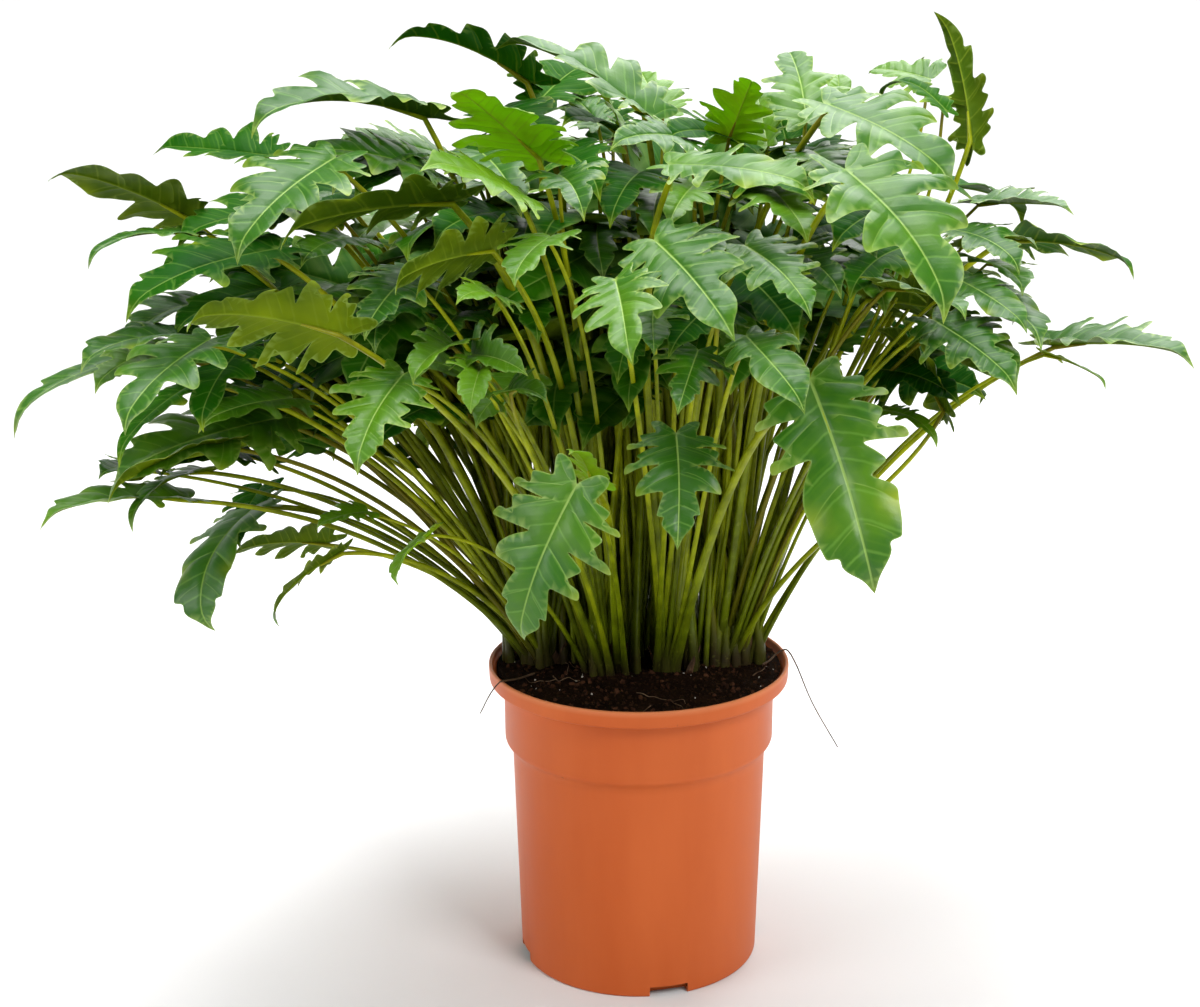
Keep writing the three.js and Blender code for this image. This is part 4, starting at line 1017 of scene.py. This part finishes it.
def set_blade(neck, tip, facing, droop, fold, slide, character):
    """Sets a flat blade between its neck and tip; returns its length, its neck, the way its
    midrib sets out and a function from flat coordinates and a lift in millimetres to points."""
    back, lift, _ = slide
    moved = np.array([0, back, lift - 0.27 * back])
    phase = float(np.array(neck) @ wave_phase)
    neck, tip = np.array(neck, float) + moved, np.array(tip, float) + moved
    droop, fold = math.radians(droop), math.radians(fold)
    # the midrib bends down more and more towards its tip
    middles = droop * ((np.arange(bend_steps) + 0.5) / bend_steps) ** 2
    steps = np.linspace(0, 1, bend_steps + 1)
    spine_along, spine_down = (np.concatenate([[0], np.cumsum(part)]) / bend_steps
                               for part in (np.cos(middles), np.sin(middles)))
    length = np.linalg.norm(tip - neck) / math.hypot(spine_along[-1], spine_down[-1])
    chord = unit(tip - neck)
    up = np.array(facing, float)
    up = unit(up - chord * (up @ chord))
    rise = math.atan2(spine_down[-1], spine_along[-1])
    along = chord * math.cos(rise) + up * math.sin(rise)
    out = up * math.cos(rise) - chord * math.sin(rise)
    across = np.cross(out, along)
    bow, twist, first, second = character

    def place(a, w, raise_by):
        a, w = np.asarray(a, float), np.asarray(w, float)
        held = np.clip(a, 0, 1)
        forward = np.interp(held, steps, spine_along) + np.minimum(a, 0)
        down = np.interp(held, steps, spine_down)
        angle = droop * held ** 2
        side = np.sqrt(w * w + rib_width ** 2) - rib_width
        near_edge = (side / half_width) ** 2
        wave = wave_height * np.sin(15 * a + phase * np.sign(w)) * near_edge
        ripple = ripple_height * np.sin(9 * a + 7 * w + first) * np.sin(5 * a - 8 * w + second)
        ruffle = ruffle_height * np.sin(27 * a + second + 2 * np.sign(w)) * near_edge
        hook = -tip_hook * np.clip((a - 0.86) / 0.14, 0, 1) ** 2
        raised = (side * math.sin(fold) - edge_curl * side * side + wave
                  + ripple * np.minimum(1, side / 0.1) + ruffle + hook + w * twist * held ** 2
                  + raise_by / length)
        sideways = w * math.cos(fold) + bow * np.sin(math.pi * held)
        return (neck + along * (length * (forward + raised * np.sin(angle)))[..., None]
                + out * (length * (raised * np.cos(angle) - down))[..., None]
                + across * (length * sideways)[..., None])
    return length, neck, along, place


# The greens by tone, for the upper side and the underside. The bright lime at the top of the
# underside's greens is painted light shining through the leaf.
upper_greens = [(0.0, (0.004, 0.062, 0.0006)), (0.5, (0.026, 0.125, 0.001)),
                (1.0, (0.16, 0.34, 0.003))]
under_greens = [(0.0, (0.012, 0.105, 0.001)), (0.25, (0.030, 0.082, 0.001)),
                (0.5, (0.064, 0.115, 0.002)), (0.75, (0.170, 0.240, 0.003)),
                (0.95, (0.250, 0.620, 0.003))]


def leaf_finish(name, under, roughness, specular, veined=1.0):
    """The blade's finish: green by leaf and patch, veins, pale edge and fine parallel veinlets."""
    material, shader, space = shaded(name, roughness, specular)
    patch = remap(noise(space, 22, 3), 0.3, 0.7, -0.26, 0.26)
    # a leaf's tone, partly painted shade, sheen and light through the leaf, with a random patch,
    # sets its green
    level = remap(maths("ADD", attribute(shader, "tone"), patch), -1, 1)
    ramp = shader.id_data.nodes.new("ShaderNodeValToRGB")
    feed(ramp.inputs["Fac"], level)
    stops = ramp.color_ramp.elements
    greens = under_greens if under else upper_greens
    stops[0].color = (*greens[0][1], 1)
    stops[1].position, stops[1].color = greens[-1][0], (*greens[-1][1], 1)
    for position, green in greens[1:-1]:
        stops.new(position).color = (*green, 1)
    colour = ramp.outputs["Color"]
    # veinlets run out from the midrib at a slant, so they are lines of equal a - 0.6 |w|
    along, across, own = apart(attribute(shader, "flat", "Vector"))
    off_midrib = maths("ABSOLUTE", across)
    slant = maths("SUBTRACT", along, times(off_midrib, 0.6))
    bent = maths("ADD", slant, times(noise(space, 60, 2), 0.03))
    lines = remap(maths("SINE", times(bent, 150)), 0.2, 1.0)
    faint = times(lines, remap(noise(space, 35, 2), 0.4, 0.7, 0.0, 0.10))
    colour = blend(faint, colour, (0.15, 0.32, 0.01))
    # side veins leave the midrib at the same slant, and the blade swells a little between them
    between = maths("PINGPONG", maths("ADD", times(bent, 7.5), own), 0.5)
    side_line = times(remap(between, 0.015, 0.075, 0.34 * veined, 0.0),
                      remap(off_midrib, 0.05, 0.38, 1.0, 0.25))
    colour = blend(side_line, colour, (0.20, 0.27, 0.02) if under else (0.18, 0.38, 0.05))
    ripe = times(attribute(shader, "lime"), remap(noise(space, 9, 1), 0.4, 0.62, 0.25, 0.9))
    colour = blend(ripe, colour, (0.33, 0.42, 0.012))
    colour = blend(times(attribute(shader, "rib"), 0.75 * veined), colour,
                   (0.22, 0.30, 0.02) if under else (0.30, 0.47, 0.09))
    worn = remap(noise(space, 14, 2), 0.35, 0.65, 0.15, 0.7 * veined)
    colour = blend(times(attribute(shader, "rim"), worn), colour, (0.34, 0.48, 0.10))
    feed(shader.inputs["Base Color"], colour)
    fine = maths("ADD", times(lines, 0.05), times(noise(space, 500, 2), 0.2))
    bump(shader, maths("ADD", times(between, -1.6 if under else 1.6), fine), 0.6, 0.0006)
    return material


blade_upper = leaf_finish("blade_upper", False, 0.40, 0.42)
blade_under = leaf_finish("blade_under", True, 0.55, 0.05)
# a shaded copy of the upper finish for leaves in the shade of others: painted shade, fainter veins,
# almost no gloss
blade_shaded_copy = leaf_finish("blade_shaded_copy", False, 0.5, 0.05, veined=0.55)
blade_finishes = [blade_upper, blade_under, blade_shaded_copy]


class Gathered:
    """Meshes gathered into one, with their attributes and the material of each face."""

    def __init__(self):
        self.points, self.faces, self.slots, self.values, self.count = [], [], [], {}, 0

    def add(self, points, faces, slots, values):
        self.points.append(points)
        self.faces.append(faces + self.count)
        self.slots.append(slots)
        for key, value in values.items():
            self.values.setdefault(key, []).append(value)
        self.count += len(points)

    def made(self, name, materials):
        points = np.clip(np.concatenate(self.points) * 0.001, *cad_box)
        faces = np.concatenate(self.faces)
        mesh = bpy.data.meshes.new(name)
        mesh.vertices.add(len(points))
        mesh.vertices.foreach_set("co", points.astype(np.float32).ravel())
        mesh.loops.add(faces.size)
        mesh.loops.foreach_set("vertex_index", faces.astype(np.int32).ravel())
        mesh.polygons.add(len(faces))
        mesh.polygons.foreach_set("loop_start", np.arange(0, faces.size, 3, dtype=np.int32))
        for material in materials:
            mesh.materials.append(material)
        slots = np.concatenate(self.slots).astype(np.int32)
        mesh.polygons.foreach_set("material_index", slots)
        for key, values in self.values.items():
            set_values(mesh, key, np.concatenate(values))
        mesh.update(calc_edges=True)
        mesh.validate()
        mesh.shade_smooth()
        # the edge of a blade, where its upper and under side meet, stays crisp
        edge_of = np.empty(len(mesh.loops), np.int32)
        mesh.loops.foreach_get("edge_index", edge_of)
        slots = np.empty(len(mesh.polygons), np.int32)
        mesh.polygons.foreach_get("material_index", slots)
        by_edge = np.zeros((len(mesh.edges), 2), bool)
        by_edge[edge_of, np.repeat(slots % 2, 3)] = True
        sharp = mesh.attributes.new("sharp_edge", "BOOLEAN", "EDGE")
        sharp.data.foreach_set("value", by_edge.all(1))
        return take(mesh, name)


# ------------------------------------------------------------------ stalks
# Long leathery petioles, one to a blade: a broad sheath at the crown, then a grooved stem that
# narrows to the blade's neck and runs on under it as the midrib. Olive green, yellower above.

stalk_skin, shader, space = shaded("stalk_skin", 0.32, 0.15)
along_stalk = attribute(shader, "along")
stalk_tone = attribute(shader, "tone")
streaks = noise(space, 55, 3)
streaked = remap(streaks, 0.35, 0.65)
low_green = blend(streaked, (0.085, 0.112, 0.001), (0.170, 0.225, 0.003))
high_green = blend(streaked, (0.215, 0.262, 0.002), (0.410, 0.455, 0.006))
mixed = maths("ADD", remap(along_stalk, 0.1, 1.0), stalk_tone)
stalk_colour = blend(remap(mixed, 0.0, 1.0), low_green, high_green)
bronze = times(remap(stalk_tone, -0.36, -0.5), remap(streaks, 0.3, 0.6, 0.25, 0.7))
shaded_foot = times(remap(along_stalk, 0.26, 0.04), 0.5)
# soil stain and painted shade where the stalks go into the soil: their very feet turn dark brown
soil_and_shade_foot = times(remap(along_stalk, 0.08, 0.01), remap(streaks, 0.3, 0.6, 0.6, 0.95))
ruddy = times(times(remap(along_stalk, 0.82, 0.98), remap(stalk_tone, 0.05, 0.3)), 0.6)
fleck = times(remap(noise(space, 210, 2), 0.64, 0.72), 0.25)
for share, colour in ((bronze, (0.150, 0.105, 0.006)), (shaded_foot, (0.040, 0.062, 0.002)),
                      (soil_and_shade_foot, (0.030, 0.019, 0.009)), (ruddy, (0.11, 0.055, 0.012)),
                      (fleck, (0.30, 0.33, 0.06))):
    stalk_colour = blend(share, stalk_colour, colour)
feed(shader.inputs["Base Color"], stalk_colour)
bump(shader, noise(space, 320, 2), 0.15, 0.0003)

clump_middle = np.array([2, 16])
stalk_sides, stalk_groove, body_points = 10, 0.45, 22
neck_at = 0.05
upright_spread, leaning_spread = 7, 13
thinnest_stalk, thickest_stalk = 1.8, 3.1
# where the midrib's swelling runs on under the blade, and how thick it is there
under_blade = {0.09: 0.72, 0.14: 0.62, 0.20: 0.5, 0.27: 0.34}


def bezier3(start, first, second, end, count):
    t = np.linspace(0, 1, count)[:, None]
    return ((1 - t) ** 3 * start + 3 * t * (1 - t) ** 2 * first
            + 3 * t * t * (1 - t) * second + t ** 3 * end)


def stalk_path(crown, neck, along, place, sway, girth, stray):
    """The stalk's centre line from inside the soil to under the blade's midrib, with its girths
    and its way along from 0 to 1."""
    crown = np.array(crown, float)
    end = place(neck_at, 0, -(girth * 0.8 + 0.3))
    outward = (neck - (*crown, 0))[:2]
    reach = float(np.linalg.norm(outward))
    outward = outward / reach
    lean = min(max(reach / (neck[2] - soil_top), 0), 1)
    # the feet fan out around the crown, the leaning ones furthest
    radius = upright_spread + leaning_spread * lean
    main = math.atan2(crown[1] - clump_middle[1], crown[0] - clump_middle[0])
    turn = math.atan2(outward[1], outward[0]) - main
    fanned = main + 2 * math.atan2(math.sin(turn), math.cos(turn))
    start = np.array([crown[0] + radius * math.cos(fanned) + stray[0],
                      crown[1] + radius * math.sin(fanned) + stray[1], 260 - 9 * lean])
    run = float(np.linalg.norm(end - start))
    span = (end - start) / run
    sideways = np.array([-outward[1], outward[0], 0]) * sway
    leave = unit(0.75 * span + (0, 0, 0.5))
    arrive = unit(0.7 * span + 0.3 * along)
    first = start + leave * 0.4 * run + sideways
    second = end - arrive * 0.33 * run + sideways + (0, 0, 0.1 * reach)
    body = bezier3(start, first, second, end, body_points)
    foot = start - leave * (start[2] - soil_top + 4) / leave[2] * np.array([0.6, 0.6, 1.0])
    under = [place(a, 0, -(girth * (0.8 - 2.2 * (a - neck_at)) + 0.3)) for a in under_blade]
    t = np.linspace(0, 1, body_points)
    body_girth = girth * (1.22 - 0.42 * t) + 0.9 * np.exp(-t / 0.05)
    girths = [body_girth[0] + 0.5, body_girth[0] + 0.25, *body_girth,
              *[girth * share for share in under_blade.values()]]
    return (np.array([foot, foot * 0.45 + start * 0.55, *body, *under]), np.array(girths),
            np.array([0, 0.01, *np.linspace(0.02, 1, body_points), *[1] * len(under_blade)]))


def stalks_object(name, stalks, groove):
    """Stalks as one piece; each is a path with its girths, its way along and its tone."""
    paths, girths, alongs, tones = zip(*stalks)
    tones = [np.full(len(path), tone) for path, tone in zip(paths, tones)]
    return strings_object(name, paths, girths, {"along": np.concatenate(alongs),
                                                "tone": np.concatenate(tones)},
                          stalk_skin, stalk_sides, groove)


filling_count = 164
foliage_dome, left_dome = np.array([320, 268, 425]), np.array([380, 268, 415])
# the limits of the filling leaves: front of their necks, then top, sides and back of their tips
front_limit, top_limit, left_limit, right_limit, back_limit = -70, 728, -420, 350, 325
# the share of the filling leaves that has each form, and the share that shows its underside
form_shares, under_share = (0.34, 0.16, 0.04, 0.2, 0.26), 0.13
# how low the foliage hangs in front, across the plant
crown_hem = ([-300, -200, -100, 0, 100, 200, 300], [430, 440, 430, 400, 470, 540, 560])


def filling_leaves(count, seed):
    """The leaves inside and behind the crown of foliage: each is set in the widest gap that a
    few draws find, on or under a dome over the pot, and leans outward. Returns them by shoot."""
    draw = np.random.default_rng(seed)
    middles = [(np.array(neck) + tip) / 2 for _, _, leaves in shoots for _, neck, tip, *_ in leaves]
    added = {shoot: [] for shoot, _, _ in shoots}
    while count:
        best = None
        for _ in range(14):
            turn = draw.uniform(0, 2 * math.pi)
            rise = math.radians(draw.uniform(22, 86))
            depth = draw.uniform(0.55, 0.9)
            away = np.array([math.cos(rise) * math.cos(turn), math.cos(rise) * math.sin(turn),
                             math.sin(rise)])
            dome = foliage_dome if away[0] > 0 else left_dome
            neck = np.array([*clump_middle, soil_top + 6]) + away * dome * depth
            heading = turn + draw.uniform(-0.9, 0.9)
            slope = draw.uniform(-0.8, 0.15)
            chord = draw.uniform(92, 140)
            tip = neck + unit(np.array([math.cos(heading), math.sin(heading), slope])) * chord
            middle = (neck + tip) / 2
            if neck[1] < front_limit or tip[2] > top_limit or not (
                    left_limit < tip[0] < right_limit and tip[1] < back_limit):
                continue
            if min(neck[2], tip[2]) + 0.33 * tip[1] < np.interp(tip[0], *crown_hem):
                continue
            gap = min(np.linalg.norm(middle - other) for other in middles)
            if best is None or gap > best[0]:
                best = (gap, middle, neck, tip, turn)
        if best is None:
            continue
        _, middle, neck, tip, turn = best
        # most look up and outward, and a few show their undersides
        tilt = -0.9 if draw.uniform() < under_share else 0.35
        facing = (tilt * math.cos(turn) + draw.uniform(-0.4, 0.4),
                  tilt * math.sin(turn) + draw.uniform(-0.5, 0.1), 1)
        # it grows from the crown on its side, unless that has many of them already
        out = unit(neck[:2] - clump_middle)
        shoot = max(shoots, key=lambda row: (np.array(row[1]) - clump_middle) @ out
                    - 1.1 * len(added[row[0]]))[0]
        form = forms[int(draw.choice(5, p=form_shares))]
        # their tones run deep: painted shade for the leaves inside and behind the crown
        added[shoot].append((form, neck, tip, facing, draw.uniform(15, 60), draw.uniform(4, 24),
                             (0, 0, draw.uniform(-14, 14)), draw.uniform(-1.0, 0.1)))
        middles.append(middle)
        count -= 1
    return added


# a leaf of a deeper tone than this, or a filling leaf, has the duller finish of the inner leaves:
# a shaded copy of the upper finish, painted shade with fainter veins and almost no gloss
deep_tone = -0.42


def grow_shoot(shoot, crown, leaves, filling):
    """One leafy shoot: all its blades as one piece and all their stalks as another."""
    blades, stalks = Gathered(), []
    draw = np.random.default_rng(int(abs(crown[0]) * 31 + abs(crown[1]) * 7) + 5)
    placed = len(leaves)
    for k, (form, neck, tip, facing, droop, fold, slide, tone) in enumerate(leaves + filling):
        character = [draw.uniform(*span)
                     for span in ((-0.03, 0.03), (-0.3, 0.3), (0, 6.3), (0, 6.3))]
        template = templates[forms.index(form), int(draw.integers(variants)), int(k >= placed)]
        length, neck, along, place = set_blade(neck, tip, facing, droop, fold, slide, character)
        a, w = template["flat"].T
        on_edge, faces = template["on_edge"], template["faces"]
        upper = place(a, w, blade_thickness / 2 * ~on_edge + template["upper"] * length)
        under = place(a, w, -blade_thickness / 2 * ~on_edge + template["under"] * length)
        # the two sides share the points on the edge
        free = np.flatnonzero(~on_edge)
        lower_index = np.arange(len(a))
        lower_index[free] = len(a) + np.arange(len(free))
        both = np.concatenate([np.arange(len(a)), free])
        points = np.concatenate([upper, under[free]])
        points[np.flatnonzero(on_edge)] = (upper + under)[on_edge] / 2
        # and a triangle with all its corners there belongs to the upper side alone
        under_faces = lower_index[faces[~on_edge[faces].all(1)]][:, ::-1]
        finish = 0 if tone > deep_tone and k < placed else 2
        own_veins = np.full(len(both), draw.uniform(0, 9))
        blades.add(points, np.concatenate([faces, under_faces]),
                   np.repeat([finish, 1], [len(faces), len(under_faces)]),
                   {**{key: template[key][both] for key in ("rib", "rim", "lime")},
                    "tone": np.full(len(both), tone),
                    "flat": np.stack([a[both], w[both], own_veins], 1)})
        girth = float(np.clip(length / 46, thinnest_stalk, thickest_stalk))
        girth *= draw.uniform(0.88, 1.1)
        stray = draw.normal(0, 2.5 if k < placed else 12, 2)
        stalk = stalk_path(crown, neck, along, place, slide[2], girth, stray)
        stalks.append((*stalk, draw.uniform(-0.55, 0.5)))
    for piece in (blades.made("foliage_" + shoot, blade_finishes),
                  stalks_object("stalks_" + shoot, stalks, stalk_groove)):
        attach(piece, "root")
        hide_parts("shoot_" + shoot)


filling = filling_leaves(filling_count, 19)
for shoot, crown, leaves in shoots:
    grow_shoot(shoot.removeprefix("shoot_"), crown, leaves, filling[shoot])


# ------------------------------------------------------------------ rolled leaves
# Young leaves that haven't opened, each still rolled into a green spear at the end of its stalk.
# They stand up out of the soil between the crowns, among the older stalks.

draw = np.random.default_rng(52)
spear_points = 24
spears = []
for between_x, spread, count in ((-7, 6, 26), (53, 4, 8), (-47, 4, 8)):
    for _ in range(count):
        foot = np.array([between_x + draw.normal(0, spread), draw.uniform(-14, 30), soil_top - 4])
        height = draw.uniform(150, 330)
        top = foot + (0.25 * foot[0] + draw.normal(0, 8), draw.normal(0, 14), height)
        bowed = np.array([draw.normal(0, 6), draw.normal(0, 6), 0])
        third = (0, 0, 0.35 * height)
        path = bezier3(foot, foot + third + bowed, top - third + bowed, top, spear_points)
        # the stem narrows, then the rolled blade swells and comes to a point
        t = np.linspace(0, 1, spear_points)
        rolled = 0.4 * np.sin(math.pi * np.clip((t - 0.6) / 0.4, 0, 1))
        girths = draw.uniform(1.6, 2.4) * np.minimum(1.15 - 0.35 * t + rolled, 0.12 + 9 * (1 - t))
        spears.append((path, girths, 0.9 * t, draw.uniform(-0.3, 0.2)))
rolled_leaves = stalks_object("rolled_leaves", spears, 0.3)
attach(rolled_leaves, "root")


# ------------------------------------------------------------------ crowns
# The brown papery sheaths of leaves that have gone, standing low around the short woody stems that
# the stalks grow from; the stems themselves are not built.

sheath_skin, shader, space = shaded("dry_sheath", 0.7, 0.3)
fibre = noise(drawn_out(space, 0.2), 420, 3)
dry = blend(remap(fibre, 0.35, 0.65), (0.030, 0.015, 0.007), (0.13, 0.070, 0.032))
feed(shader.inputs["Base Color"], dry)
bump(shader, fibre, 0.6, 0.0006)

stem_radius, sheath_thickness, sheaths_each = 5, 0.7, 11


def sheath(middle, turn, height, width, lean):
    """A pointed scale that stands around a stem and leans out a little, as a thin closed shell."""
    rows, columns = 9, 7
    points = []
    for skin in (0.0, sheath_thickness):
        for row in range(rows):
            up = row / (rows - 1)
            spread = width * (1 - up ** 2.2) + 0.25
            for column in range(columns):
                across = (column / (columns - 1) - 0.5) * 2
                radius = stem_radius + skin + lean * height * up ** 1.6
                angle = turn + across * spread / 9
                points.append((middle[0] + radius * math.cos(angle),
                               middle[1] + radius * math.sin(angle),
                               soil_top - 4 + height * up - 1.2 * across * across))
    faces = []
    shell = rows * columns
    for row in range(rows - 1):
        for column in range(columns - 1):
            a = row * columns + column
            quad = (a, a + columns, a + columns + 1, a + 1)
            faces += [quad, tuple(shell + k for k in reversed(quad))]
    border = ([*range(columns)] + [columns - 1 + columns * r for r in range(1, rows)]
              + [shell - 2 - k for k in range(columns - 1)]
              + [columns * r for r in range(rows - 2, 0, -1)])
    faces += [(a, b, shell + b, shell + a) for a, b in zip(border, border[1:] + border[:1])]
    return points, faces


draw = np.random.default_rng(77)
sheath_points, sheath_faces = [], []
for _, crown, _ in shoots:
    for k in range(sheaths_each):
        turn = k * 2.4 + draw.uniform(-0.3, 0.3)
        distance = draw.uniform(0, 13)
        middle = (crown[0] + distance * math.cos(turn), crown[1] + distance * math.sin(turn))
        points, faces = sheath(middle, turn, draw.uniform(14, 34), draw.uniform(5, 8),
                               draw.uniform(0.0, 0.28))
        sheath_faces += [tuple(index + len(sheath_points) for index in face) for face in faces]
        sheath_points += points
sheaths = mesh_object("crown_sheaths", sheath_points, sheath_faces, [sheath_skin])
sheaths.data.shade_smooth()
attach(sheaths, "root")
